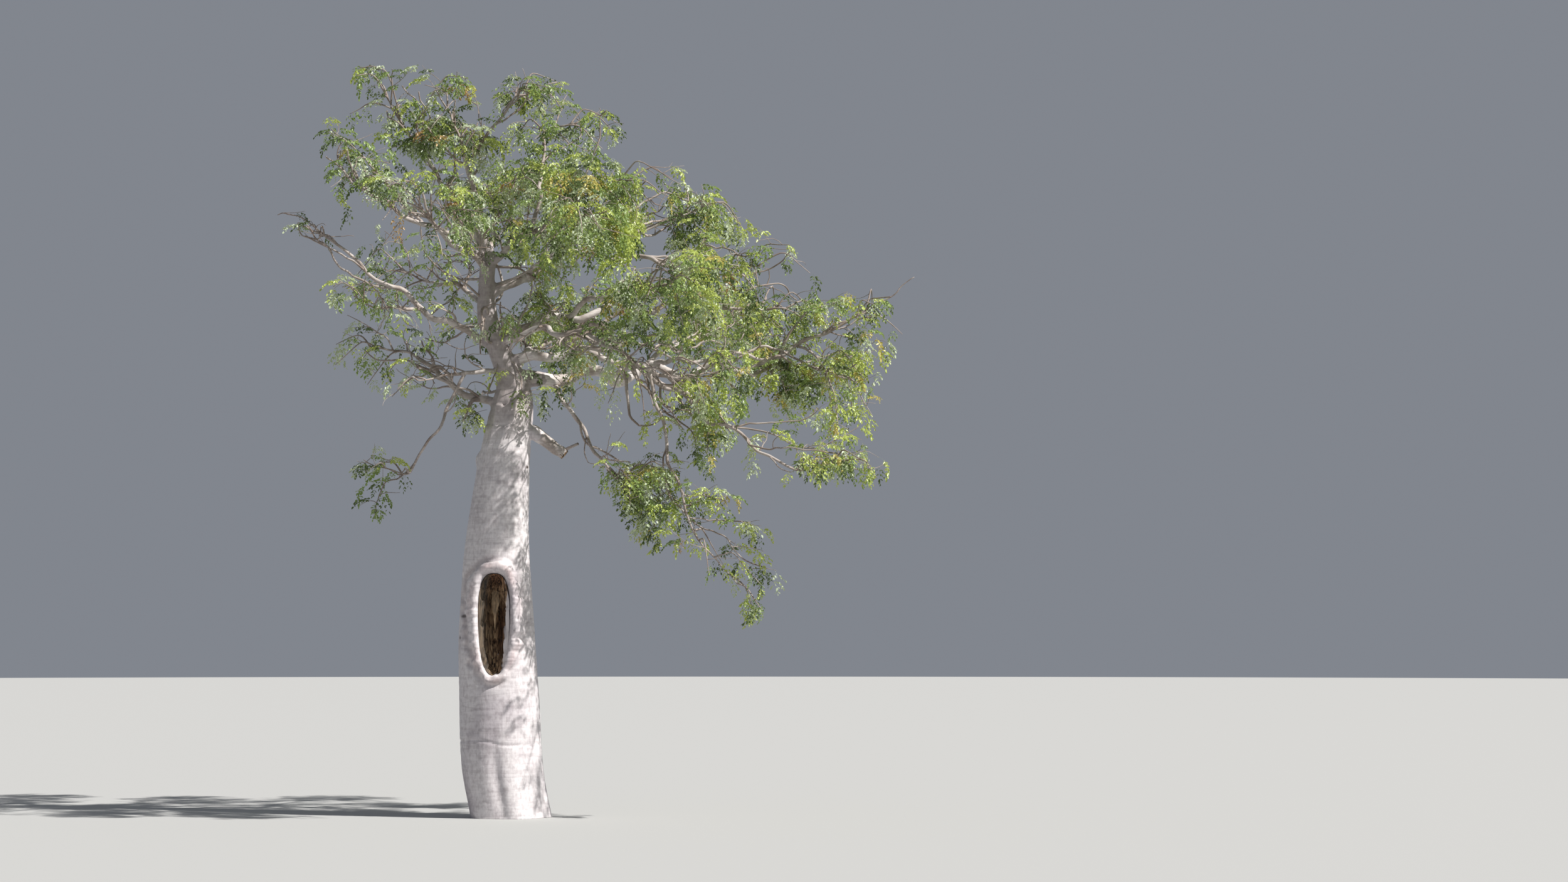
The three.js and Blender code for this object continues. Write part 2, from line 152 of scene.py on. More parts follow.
bpy.ops.object.select_all(action="DESELECT")
bpy.ops.mesh.primitive_grid_add(x_subdivisions=TRUNK_SIDES, y_subdivisions=TRUNK_RINGS, size=2)
trunk = bpy.context.object
trunk.name = "trunk_bark"
places = take_vertices(trunk)
for i, (across, along, _) in enumerate(places):
    angle = (across + 1) * math.pi
    height = -TRUNK_BELOW + (along + 1) / 2 * (KNOB_TOP + TRUNK_BELOW)
    rounding = max(height - KNOB_FROM, 0) / (KNOB_TOP - KNOB_FROM)
    radius = trunk_radius(min(height, TRUNK[-1][0]), angle) * math.sqrt(max(1 - rounding**2, 0.001))
    middle = trunk_point(min(height, TRUNK[-1][0]))
    places[i] = (middle[0] + radius * math.cos(angle), middle[1] + radius * math.sin(angle), height)
put_vertices(trunk, places)
bpy.ops.object.mode_set(mode="EDIT")
bpy.ops.mesh.select_all(action="SELECT")
bpy.ops.mesh.remove_doubles(threshold=0.0001)
bpy.ops.mesh.fill_holes(sides=0)
bpy.ops.mesh.select_all(action="SELECT")
bpy.ops.mesh.normals_make_consistent(inside=False)
bpy.ops.object.mode_set(mode="OBJECT")

# The hollow and its lip. Where a bough once broke out the wood has rotted to a deep upright oval, and
# the bark has healed round the mouth in a thick rolled lip, broadest at its upper left and thin and
# lumpy at its foot. The space is cut from the column, and the lip is a ring laid on the bark round it.
HOLLOW_X = -0.112
HOLLOW_Z = 1.522
MOUTH_HALF_WIDTH = 0.126
MOUTH_HALF_HEIGHT = 0.41
MOUTH_TAPER = 0.14
BLUNT_TOP = 3.0
BLUNT_FOOT = 2.6
HOLLOW_DEPTH = 0.25
LIP_RADIUS = 0.054
LIP_STEPS = 120
LIP_SIDES = 16
LIP_LUMPS = 0.32
LIP_LUMPS_FOOT = 0.9
LIP_OUTWARD = 0.46
LIP_OUTWARD_RIGHT = 0.1
LIP_LEAN = math.radians(150)
LIP_LEAN_BROAD = 0.3
LIP_LEAN_WIDTH = 0.7
LIP_NARROW_FOOT = 0.42
LIP_BROAD_RIGHT = 0.06
LIP_STANDS = 2.6
LIP_LOW_FOOT = 0.5


def mouth_width(up):
    """Half the mouth's width for each unit across, so that its ends are blunter than an oval's."""
    high = min(abs(up), 0.995)
    bluntness = BLUNT_TOP if up > 0 else BLUNT_FOOT
    blunt = (1 - high**bluntness) ** (1 / bluntness) / math.sqrt(1 - high**2)
    return MOUTH_HALF_WIDTH * (1 + MOUTH_TAPER * min(up, 0)) * blunt


def face_at(x, z):
    middle = trunk_point(z)
    radius = trunk_radius(z, -math.pi / 2)
    return middle[1] - math.sqrt(max(radius**2 - (x - middle[0]) ** 2, 0))


bpy.ops.object.select_all(action="DESELECT")
bpy.ops.mesh.primitive_uv_sphere_add(segments=48, ring_count=32, radius=1)
hollow = bpy.context.object
places = take_vertices(hollow)
hollow_face = face_at(HOLLOW_X, HOLLOW_Z)
for i, (across, inward, up) in enumerate(places):
    x = HOLLOW_X + across * mouth_width(up)
    places[i] = (x, hollow_face + inward * HOLLOW_DEPTH, HOLLOW_Z + up * MOUTH_HALF_HEIGHT)
put_vertices(hollow, places)

bpy.ops.object.select_all(action="DESELECT")
bpy.ops.mesh.primitive_torus_add(
    major_segments=LIP_STEPS, minor_segments=LIP_SIDES, major_radius=1, minor_radius=0.5
)
lip = bpy.context.object
places = take_vertices(lip)
lip_edge = []
lip_crest = []
for i, (x, y, rise) in enumerate(places):
    angle = math.atan2(y, x)
    up = math.sin(angle)
    width = mouth_width(up)
    away = np.array([math.cos(angle) / width, up / MOUTH_HALF_HEIGHT])
    away /= np.linalg.norm(away)
    lump = noise.noise(Vector((math.cos(angle) * 2, up * 7, 3.1)))
    foot = max(-up, 0)
    lumpy = LIP_LUMPS * (1 + LIP_LUMPS_FOOT * foot)
    broad = 1 + LIP_LEAN_BROAD * math.exp(-(((angle - LIP_LEAN) / LIP_LEAN_WIDTH) ** 2))
    broad += -LIP_NARROW_FOOT * foot**2 + LIP_BROAD_RIGHT * max(math.cos(angle), 0) ** 4
    girth = LIP_RADIUS * (broad + lumpy * lump)
    outward = LIP_OUTWARD + LIP_OUTWARD_RIGHT * max(math.cos(angle), 0)
    band = 2 * girth * (math.hypot(x, y) - 1 + outward)
    place_x = HOLLOW_X + width * math.cos(angle) + band * away[0]
    place_z = HOLLOW_Z + MOUTH_HALF_HEIGHT * up + band * away[1]
    stand = LIP_STANDS * (1 - LIP_LOW_FOOT * foot) * girth * rise
    places[i] = (place_x, face_at(place_x, place_z) - stand, place_z)
    if math.hypot(x, y) > 1.499:
        lip_edge.append((place_x, place_z))
    if rise > 0.499:
        lip_crest.append((place_x, place_z))
put_vertices(lip, places)


def finer_ring(corners):
    """A closed ring of places on the bark with five for each step of the lip."""
    ring = np.vstack([corners, corners[:1]])
    steps = np.linspace(0, LIP_STEPS, 5 * LIP_STEPS, endpoint=False)
    return np.column_stack([np.interp(steps, range(LIP_STEPS + 1), ring[:, k]) for k in (0, 1)])


lip_edge = finer_ring(lip_edge)
lip_crest = finer_ring(lip_crest)
for piece in (trunk, lip):
    apply_modifier(piece, "BOOLEAN", object=hollow, operation="DIFFERENCE", solver="EXACT")
bpy.data.objects.remove(hollow)

# The boughs. Thin crooked limbs leave the bottle's neck and the trunk above it, the thickest sweeping
# out to the right, and each runs on in one taper to where its leaves begin. A short thick one has
# broken off on the right and keeps a snapped twig. Their lines follow the same rule as the solids.
BOUGHS = [
    # name, carrier, start (height, or share along the carrier), reach, heading, rise, arch, sway, radii
    ("bough_high_left", "trunk", 4.44, 1.02, -156, 0.51, -0.02, 0.0, 0.03, 0.012),
    ("bough_top_left", "trunk", 4.48, 0.73, 171, 1.08, 0.03, 0.03, 0.028, 0.011),
    ("bough_crest", "trunk", 4.49, 0.245, -145, 0.81, 0.02, -0.02, 0.03, 0.014),
    ("bough_crest_right", "bough_crest", 0.88, 0.42, -21, 0.49, -0.025, 0.0, 0.016, 0.01),
    ("bough_high_right", "trunk", 4.4, 0.9, -26, 0.54, 0.01, 0.0, 0.028, 0.012),
    ("bough_high_centre", "bough_high_right", 0.42, 0.365, 78, 0.835, 0.0, -0.04, 0.019, 0.01),
    ("bough_high_back", "trunk", 4.45, 0.91, 88, 0.525, 0.06, 0.0, 0.026, 0.011),
    ("bough_high_front", "trunk", 4.33, 0.985, -106, 0.25, 0.07, 0.0, 0.027, 0.011),
    ("bough_right_high", "trunk", 4.15, 1.51, 14, 0.655, 0.05, 0.04, 0.04, 0.014),
    ("bough_front_centre", "bough_right_high", 0.22, 1.125, -67, 0.185, 0.06, 0.0, 0.024, 0.011),
    ("bough_right_shoulder", "bough_right_high", 0.5, 1.245, -22, -0.165, 0.0, -0.05, 0.023, 0.011),
    ("bough_left_back", "trunk", 4.06, 0.915, 124, 0.275, 0.06, 0.0, 0.024, 0.011),
    ("bough_right_arch", "trunk", 3.83, 1.985, 7, 0.235, 0.11, 0.06, 0.036, 0.013),
    ("bough_front_right", "bough_right_arch", 0.3, 1.31, -63, 0.115, 0.06, 0.0, 0.024, 0.011),
    ("bough_left_long", "trunk", 3.74, 1.36, -171, 0.855, -0.075, 0.0, 0.032, 0.01),
    ("bough_left_lower", "bough_left_long", 0.45, 0.56, -122, -0.035, 0.0, 0.0, 0.017, 0.009),
    ("bough_left_inner", "trunk", 3.57, 0.39, -157, -0.06, -0.01, 0.0, 0.026, 0.014),
    ("bough_left_low", "trunk", 3.23, 0.805, 162, 0.43, -0.06, 0.0, 0.04, 0.015),
    ("bough_left_hanging", "bough_left_inner", 0.9, 0.46, -152, -0.79, 0.0, 0.04, 0.017, 0.009),
    ("bough_right_mid", "trunk", 3.6, 1.295, -17, -0.115, 0.13, 0.0, 0.044, 0.016),
    ("bough_right_low", "trunk", 3.47, 2.37, 8, 0.125, 0.015, 0.04, 0.056, 0.014),
    ("bough_right_tip", "bough_right_low", 0.78, 0.865, -12, 0.395, 0.0, 0.0, 0.024, 0.01),
    ("bough_front_low", "trunk", 3.76, 1.4, -44, -0.115, 0.13, 0.0, 0.03, 0.012),
    ("bough_right_bottom", "bough_right_mid", 0.85, 1.255, -18, -0.815, -0.02, 0.0, 0.022, 0.01),
    ("bough_hanging_low", "bough_right_mid", 0.94, 0.38, -33, -1.2, 0.0, -0.04, 0.019, 0.009),
    ("bough_hanging_centre", "bough_right_low", 0.14, 0.58, -32, -0.775, -0.03, 0.0, 0.02, 0.01),
    ("bough_back_low", "trunk", 3.56, 1.125, 69, 0.285, 0.09, 0.0, 0.034, 0.012),
    ("bough_back_right", "bough_right_low", 0.42, 1.05, 60, 0.38, 0.06, 0.0, 0.026, 0.011),
    ("stub_right", "trunk", 3.08, 0.45, -9, -0.205, 0.045, 0.0, 0.052, 0.034),
]
FIRST_SEED = 11
CROOK = 0.03
CROOK_WAVE = 0.52
COLLAR = 0.35
COLLAR_LENGTH = 0.08
CHILD_SHARE = 0.9
BOUGH_STEP = 0.16
BOUGH_STEPS_LEAST = 4
RING_SPACING = 0.018
KINK = 0.006
KINK_SHARE = 0.3
KINK_SCALE = 8.0
NOISE_SEED = 3


def seeded(seed):
    state = [seed]

    def draw():
        state[0] = (state[0] * 1664525 + 1013904223) % 4294967296
        return state[0] / 4294967296

    return draw


def unit(way):
    return way / np.linalg.norm(way)


def crooks(points, scale):
    """Which way and how far each of a row of points strays, by a smooth noise at a scale."""
    return np.array([noise.noise_vector(Vector(point * scale)) for point in points])


class Limb:
    """A limb's line as straight pieces between rings, as the solids have it, and the same line smoothed."""

    def __init__(self, carrier, at, reach, heading, rise, arch, sway, butt, tip, seed):
        random = seeded(seed)
        self.start = carrier.chord(at) if carrier else trunk_point(at)
        self.ahead = np.array([math.cos(heading), math.sin(heading), 0.0])
        self.left = np.array([-self.ahead[1], self.ahead[0], 0.0])
        self.reach, self.rise, self.arch, self.sway = reach, rise, arch, sway
        self.size = math.hypot(reach, rise)
        self.side_phase = random() * 2 * math.pi
        self.lift_phase = random() * 2 * math.pi
        self.butt = min(butt, CHILD_SHARE * carrier.radius(at)) if carrier else butt
        self.tip = tip
        self.collar = 0 if carrier else COLLAR
        fine = np.array([self.place(i / 200) for i in range(201)])
        self.length = np.linalg.norm(np.diff(fine, axis=0), axis=1).sum()
        self.steps = max(BOUGH_STEPS_LEAST, int(self.length / BOUGH_STEP + 0.5))
        self.rings = np.array([self.place(i / self.steps) for i in range(self.steps + 1)])
        pieces = max(2, round(self.length / self.steps / RING_SPACING))
        self.path = smoothed(self.rings, pieces)
        self.shares = np.linspace(0, 1, len(self.path))
        if carrier:
            shift = carrier.on_path(at) - self.start
            self.path += np.outer((1 - self.shares) ** 3, shift)
        strays = crooks(self.path, KINK_SCALE)
        for i, share in enumerate(self.shares):
            kink = (KINK + KINK_SHARE * self.radius(share)) * min(1, 5 * share) * min(1, 8 * (1 - share))
            self.path[i] += kink * strays[i]

    def place(self, t):
        swell = math.sin(math.pi * t)
        crook = CROOK * self.size * swell
        wave = 2 * math.pi * self.size * t / CROOK_WAVE
        side = self.sway * swell + crook * math.sin(wave + self.side_phase)
        lift = self.rise * t + self.arch * swell + crook * math.sin(wave + self.lift_phase)
        return self.start + self.ahead * self.reach * t + self.left * side + np.array([0, 0, lift])

    def chord(self, t):
        i = min(int(t * self.steps), self.steps - 1)
        return self.rings[i] + (self.rings[i + 1] - self.rings[i]) * (t * self.steps - i)

    def on_path(self, t):
        return np.array([np.interp(t, self.shares, self.path[:, k]) for k in range(3)])

    def radius(self, t):
        thin = self.butt + (self.tip - self.butt) * t
        return thin * (1 + self.collar * math.exp(-t / COLLAR_LENGTH))


def smoothed(points, pieces):
    """A smooth curve through a row of points, with so many pieces between each two."""
    row = np.vstack([2 * points[0] - points[1], points, 2 * points[-1] - points[-2]])
    u = np.linspace(0, 1, pieces, endpoint=False)[:, None]
    parts = []
    for a, b, c, d in zip(row, row[1:], row[2:], row[3:]):
        parts.append(b + (c - a) / 2 * u + (a - 2.5 * b + 2 * c - d / 2) * u**2
                     + (1.5 * (b - c) + (d - a) / 2) * u**3)
    return np.vstack([*parts, points[-1:]])


class Heap:
    """Triangles gathered from many small shapes, to be made one mesh."""

    def __init__(self):
        self.vertices, self.triangles, self.girths = [], [], []
        self.count = 0

    def add(self, vertices, triangles, girths=None):
        self.vertices.append(vertices)
        self.triangles.append(triangles + self.count)
        self.girths.append(np.zeros(len(vertices)) if girths is None else girths)
        self.count += len(vertices)

    def made(self, name):
        vertices = np.vstack(self.vertices)
        triangles = np.vstack(self.triangles)
        mesh = bpy.data.meshes.new(name)
        mesh.vertices.add(len(vertices))
        mesh.vertices.foreach_set("co", vertices.astype(np.float32).ravel())
        mesh.loops.add(triangles.size)
        mesh.loops.foreach_set("vertex_index", triangles.astype(np.int32).ravel())
        mesh.polygons.add(len(triangles))
        mesh.polygons.foreach_set("loop_start", np.arange(0, triangles.size, 3, dtype=np.int32))
        mesh.update(calc_edges=True)
        girth = mesh.attributes.new("girth", "FLOAT", "POINT")
        girth.data.foreach_set("value", np.concatenate(self.girths).astype(np.float32))
        obj = bpy.data.objects.new(name, mesh)
        bpy.context.scene.collection.objects.link(obj)
        return obj


def tube(points, radii, sides, relief=0.0, end=0.8):
    """A closed tube along a row of points, its skin uneven by the share relief."""
    ways = np.gradient(points, axis=0)
    ways /= np.linalg.norm(ways, axis=1)[:, None]
    side = np.cross(ways[0], [0.3, 0.2, 1.0])
    normals = []
    for way in ways:
        side = unit(side - way * side.dot(way))
        normals.append(side)
    normals = np.array(normals)[:, None, :]
    binormals = np.cross(ways, normals[:, 0])[:, None, :]
    turn = (2 * math.pi * np.arange(sides) / sides)[None, :, None]
    spokes = np.cos(turn) * normals + np.sin(turn) * binormals
    reach = np.repeat(np.asarray(radii)[:, None], sides, axis=1)
    if relief:
        for i, j in np.ndindex(reach.shape):
            spot = points[i] + spokes[i, j] * reach[i, j]
            rings = noise.noise(Vector(spot * 45)) + 1.5 * noise.noise(Vector(spot * 13))
            reach[i, j] *= 1 + relief * rings
    skin = points[:, None, :] + spokes * reach[:, :, None]
    poles = [points[0] - ways[0] * radii[0] * 0.3, points[-1] + ways[-1] * radii[-1] * end]
    vertices = np.vstack([skin.reshape(-1, 3), poles])
    ring = np.arange(sides)
    after = (ring + 1) % sides
    triangles = []
    for i in range(len(points) - 1):
        low, high = i * sides, (i + 1) * sides
        triangles.append(np.stack([low + ring, low + after, high + after], axis=1))
        triangles.append(np.stack([low + ring, high + after, high + ring], axis=1))
    first, last = len(vertices) - 2, (len(points) - 1) * sides
    triangles.append(np.stack([np.full(sides, first), after, ring], axis=1))
    triangles.append(np.stack([np.full(sides, first + 1), last + ring, last + after], axis=1))
    girths = np.append(np.repeat(radii, sides), [radii[0], radii[-1]])
    return vertices, np.vstack(triangles), girths


noise.seed_set(NOISE_SEED)
limbs = {}
for index, (name, carrier, at, reach, heading, *shape) in enumerate(BOUGHS):
    limbs[name] = Limb(limbs.get(carrier), at, reach, math.radians(heading), *shape, FIRST_SEED + index)

# The collars. Each bough that the trunk bears swells smoothly out of it, so its first hand's breadth
# is fused with the column and the lip in one skin, which is smoothed over the joins and cut level at
# the ground. The bough itself then comes out of its collar, which narrows into it.
COLLAR_REACH = 0.1
COLLAR_GIRTHS = 2.2
COLLAR_WIDE = 1.12
COLLAR_NARROW = 0.8
COLLAR_SIDES = 20
SKIN_GRAIN = 0.0105
STUB_THICKER = 1.25
STUB_FLARE = 0.5
STUB_FLARE_LENGTH = 0.25


def out_of_trunk(place):
    """How far a place stands out of the trunk's skin."""
    height = min(place[2], TRUNK[-1][0])
    middle = trunk_point(height)
    away = place - middle
    return math.hypot(away[0], away[1], max(place[2] - TRUNK[-1][0], 0)) - trunk_value(height, 3)


def girths_along(name, shares):
    """A limb's radii, where the stub is thicker than it is drawn, most of all at its root."""
    radii = np.array([limbs[name].radius(share) for share in shares])
    if name == "stub_right":
        radii *= STUB_THICKER + STUB_FLARE * np.exp(-np.asarray(shares) / STUB_FLARE_LENGTH)
    return radii


collars = Heap()
for name, carrier, *_ in BOUGHS:
    if carrier == "trunk":
        limb = limbs[name]
        out = np.array([out_of_trunk(place) for place in limb.path])
        reach = COLLAR_REACH + COLLAR_GIRTHS * limb.butt
        count = int(np.argmax(out > reach)) + 1
        fade = np.clip(out[:count] / reach, 0, 1)
        widths = COLLAR_WIDE + (COLLAR_NARROW - COLLAR_WIDE) * fade
        radii = girths_along(name, limb.shares[:count]) * widths
        collars.add(*tube(limb.path[:count], radii, COLLAR_SIDES))
collar_skin = collars.made("collars")
only(trunk)
lip.select_set(True)
collar_skin.select_set(True)
bpy.ops.object.join()
apply_modifier(trunk, "REMESH", mode="VOXEL", voxel_size=SKIN_GRAIN)
apply_modifier(trunk, "SMOOTH", factor=0.5, iterations=5)
only(trunk)
bpy.ops.object.mode_set(mode="EDIT")
bpy.ops.mesh.select_all(action="SELECT")
bpy.ops.mesh.bisect(plane_co=(0, 0, 0), plane_no=(0, 0, 1), use_fill=True, clear_inner=True)
bpy.ops.object.mode_set(mode="OBJECT")

# The bark's relief, moved point by point: slow swellings, level rings and lines, folds and sinews where
# the neck carries the boughs, a groove up from between two root lobes, a furrow round the lip, healed
# knobs and the pits of dead buds. The furrow and the pits are kept as values for painted shade, and
# the lip's roll as a value for its pinker colour.
SWELL = 0.006
RINGS = 0.0014
RINGS_TALL = 24.0
FOLDS = 0.008
FOLDS_AT = 3.1
FOLDS_REACH = 0.28
SINEWS = 0.012
SINEWS_AT = 3.22
SINEWS_REACH = 0.3
SINEW_COUNT = 4
GROOVE = 0.02
GROOVE_TURN = math.radians(-95)
GROOVE_HALF_WIDTH = 0.15
GROOVE_AT = 0.24
GROOVE_REACH = 0.32
CREASE = 0.042
CREASE_HALF_WIDTH = 0.02
CREASE_CLEAREST = math.radians(152)
CREASE_FAINTEST = 0.3
CREASE_ENDS = 1.5
LIP_WRINKLES = 0.006
LIP_HALF_WIDTH = 0.03
LINE_WAVER = 0.03
LINE_HALF_HEIGHT = 0.011
LEVEL_LINES = [
    # height, how deep it is sunk
    (0.595, 0.006),
    (1.96, 0.002),
    (3.12, 0.006),
    (3.24, 0.003),
    (3.29, 0.004),
    (3.4, 0.004),
]
KNOBS = [
    # angle, height, how far it stands out or, where a bud has died, sinks in, half width
    (math.radians(158), 2.84, 0.045, 0.07),
    (math.radians(-112), 3.27, -0.013, 0.013),
    (math.radians(-90), 3.3, -0.01, 0.012),
    (math.radians(-76), 1.275, 0.024, 0.022),
    (math.radians(-90), 1.12, 0.014, 0.028),
    (math.radians(-104), 1.09, 0.016, 0.024),
    (math.radians(-30), 3.02, 0.012, 0.06),
    (math.radians(-120), 2.42, 0.008, 0.04),
]


def crease(x, z):
    """The narrow furrow round the lip, 1 at its deepest, clearest on the left and above; it sinks the bark
    and sets its painted shade.
    """
    if abs(z - HOLLOW_Z) > MOUTH_HALF_HEIGHT * CREASE_ENDS:
        return 0
    away = np.hypot(lip_edge[:, 0] - x, lip_edge[:, 1] - z).min()
    around = math.atan2((z - HOLLOW_Z) / MOUTH_HALF_HEIGHT, (x - HOLLOW_X) / MOUTH_HALF_WIDTH)
    clear = CREASE_FAINTEST + (1 - CREASE_FAINTEST) * max(math.cos(around - CREASE_CLEAREST), 0)
    patchy = 0.6 + 0.8 * abs(noise.noise(Vector((x * 6, 7.7, z * 6))))
    return clear * patchy * math.exp(-((away / CREASE_HALF_WIDTH) ** 2))


def relief(place):
    x, y, z = place
    middle = trunk_point(min(z, TRUNK[-1][0]))
    angle = math.atan2(y - middle[1], x - middle[0])
    shift = SWELL * noise_at(x, y, z, 2.5, 1.8)
    shift += RINGS * noise_at(x, y, z, 2, RINGS_TALL)
    fold = math.exp(-(((z - FOLDS_AT) / FOLDS_REACH) ** 2))
    shift += FOLDS * fold * noise.noise(Vector((x * 2.5, y * 2.5, z * 17 + x * 4)))
    sinew = math.sin(SINEW_COUNT * angle + 2.5 * noise_at(x, y, z, 3, 2.2))
    shift += SINEWS * math.exp(-(((z - SINEWS_AT) / SINEWS_REACH) ** 2)) * (1 - 2 * abs(sinew))
    turn = (angle - GROOVE_TURN + math.pi) % (2 * math.pi) - math.pi
    groove = math.exp(-((turn / GROOVE_HALF_WIDTH) ** 2) - ((z - GROOVE_AT) / GROOVE_REACH) ** 2)
    shift -= GROOVE * groove
    if y < middle[1]:
        shift -= CREASE * crease(x, z)
        if abs(z - HOLLOW_Z) < MOUTH_HALF_HEIGHT * 1.3 and out_of_trunk(place) > 0.012:
            shift += LIP_WRINKLES * noise_at(x, y, z, 6, 55)
    for height, depth in LEVEL_LINES:
        level = z - height - LINE_WAVER * noise.noise(Vector((x * 4, y * 4, height)))
        shift -= depth * math.exp(-((level / LINE_HALF_HEIGHT) ** 2))
    for at, height, stand, half in KNOBS:
        turn = (angle - at + math.pi) % (2 * math.pi) - math.pi
        away = (turn * trunk_value(min(z, TRUNK[-1][0]), 3)) ** 2 + (z - height) ** 2
        shift += stand * math.exp(-away / half**2)
    return shift


places = take_vertices(trunk)
normals = np.empty(places.size)
trunk.data.vertex_normals.foreach_get("vector", normals)
normals = normals.reshape(-1, 3)
level = places[:, 2] < 0.002
for i, place in enumerate(places):
    places[i] = place + normals[i] * relief(place)
places[level, 2] = 0
places[:, 2] = np.maximum(places[:, 2], 0)
put_vertices(trunk, places)
# Values for colour: the furrow's painted shade, the pinker colour of the lip's roll and the pits' painted
# shade.
furrow_shades = np.zeros(len(places))
rolls = np.zeros(len(places))
pit_shades = np.zeros(len(places))
for i, (x, y, z) in enumerate(places):
    if y < 0 and abs(z - HOLLOW_Z) < MOUTH_HALF_HEIGHT * CREASE_ENDS:
        furrow_shades[i] = crease(x, z)
        off_crest = np.hypot(lip_crest[:, 0] - x, lip_crest[:, 1] - z).min()
        stained = 0.55 + 0.9 * noise.noise(Vector((x * 9, 5.1, z * 5)))
        rolls[i] = stained * math.exp(-((off_crest / LIP_HALF_WIDTH) ** 2))
# The pits' mask, for a near-black painted shade that stands for their depth.
for at, height, stand, half in KNOBS:
    if stand < 0:
        middle = trunk_point(height)
        radius = trunk_value(height, 3)
        spot = middle + radius * np.array([math.cos(at), math.sin(at), 0])
        pit_shades += np.exp(-((places - spot) ** 2).sum(axis=1) / (0.8 * half) ** 2)
for name, values in (("furrow", furrow_shades), ("roll", rolls), ("pit_shade", np.minimum(1.4 * pit_shades, 1))):
    kept = trunk.data.attributes.new(name, "FLOAT", "POINT")
    kept.data.foreach_set("value", values)
trunk.data.shade_smooth()

# The bark's finish: near white with a lilac shade where it is clean, marked with fine level rings, faint
# grain and streaks, dull blotches and a few dark scars, and pinker on the lip's roll. Shade is painted in
# the furrow round the lip and in the pits, and the crown's shade is painted over the neck, which is also
# partly greyer bark. The limbs bear the same marks, so these are kept as one group with its own scales.
BARK_WHITE = (0.68, 0.645, 0.655)
BARK_LILAC = (0.44, 0.4, 0.43)
# The dark of the scars, also used as the painted shade in the pits.
BARK_SCAR_AND_PIT_SHADE = (0.07, 0.052, 0.045)
# A painted shade laid in the furrow round the lip.
FURROW_SHADE = (0.36, 0.315, 0.322)
BARK_ROLL = (0.84, 0.7, 0.68)
# The neck's grey is partly greyer bark and partly a painted shade of the crown above it.
NECK_GREY_AND_SHADE = (0.64, 0.6, 0.585)
NECK_FROM = 3.15
NECK_TO = 3.5
NECK_UNEVEN = 0.4
WHITE = (1, 1, 1)
TRUNK_MARKS = [
    # mark, how much of it shows, where it is darkest, its dark colour, where it ends
    ("Rings", 0.3, 0.3, (0.5, 0.46, 0.48), 0.55),
    ("Grain", 0.36, 0.36, (0.5, 0.46, 0.47), 0.54),
    ("Streaks", 0.17, 0.38, (0.55, 0.51, 0.53), 0.54),
    ("Wrinkles", 0.12, 1, (0.3, 0.26, 0.27), 0),
]


def new_material(name):
    material = bpy.data.materials.new(name)
    material.use_nodes = True
    return material, material.node_tree.nodes, material.node_tree.links


def reckoned(nodes, links, operation, *values):
    """The result of a sum on numbers or other nodes' outputs."""
    node = nodes.new("ShaderNodeMath")
    node.operation = operation
    for socket, value in zip(node.inputs, values):
        if hasattr(value, "is_linked"):
            links.new(value, socket)
        else:
            socket.default_value = value
    return node.outputs[0]


def ranged(nodes, links, value, low, high, first=0, last=1):
    """A value that runs from first to last while another runs from low to high."""
    node = nodes.new("ShaderNodeMapRange")
    for name, limit in (("From Min", low), ("From Max", high), ("To Min", first), ("To Max", last)):
        node.inputs[name].default_value = limit
    links.new(value, node.inputs["Value"])
    return node.outputs[0]


def kept_value(nodes, links, name, weight):
    """A value that a mesh keeps at each of its points, times a weight."""
    node = nodes.new("ShaderNodeAttribute")
    node.attribute_name = name
    return reckoned(nodes, links, "MULTIPLY", node.outputs["Fac"], weight)


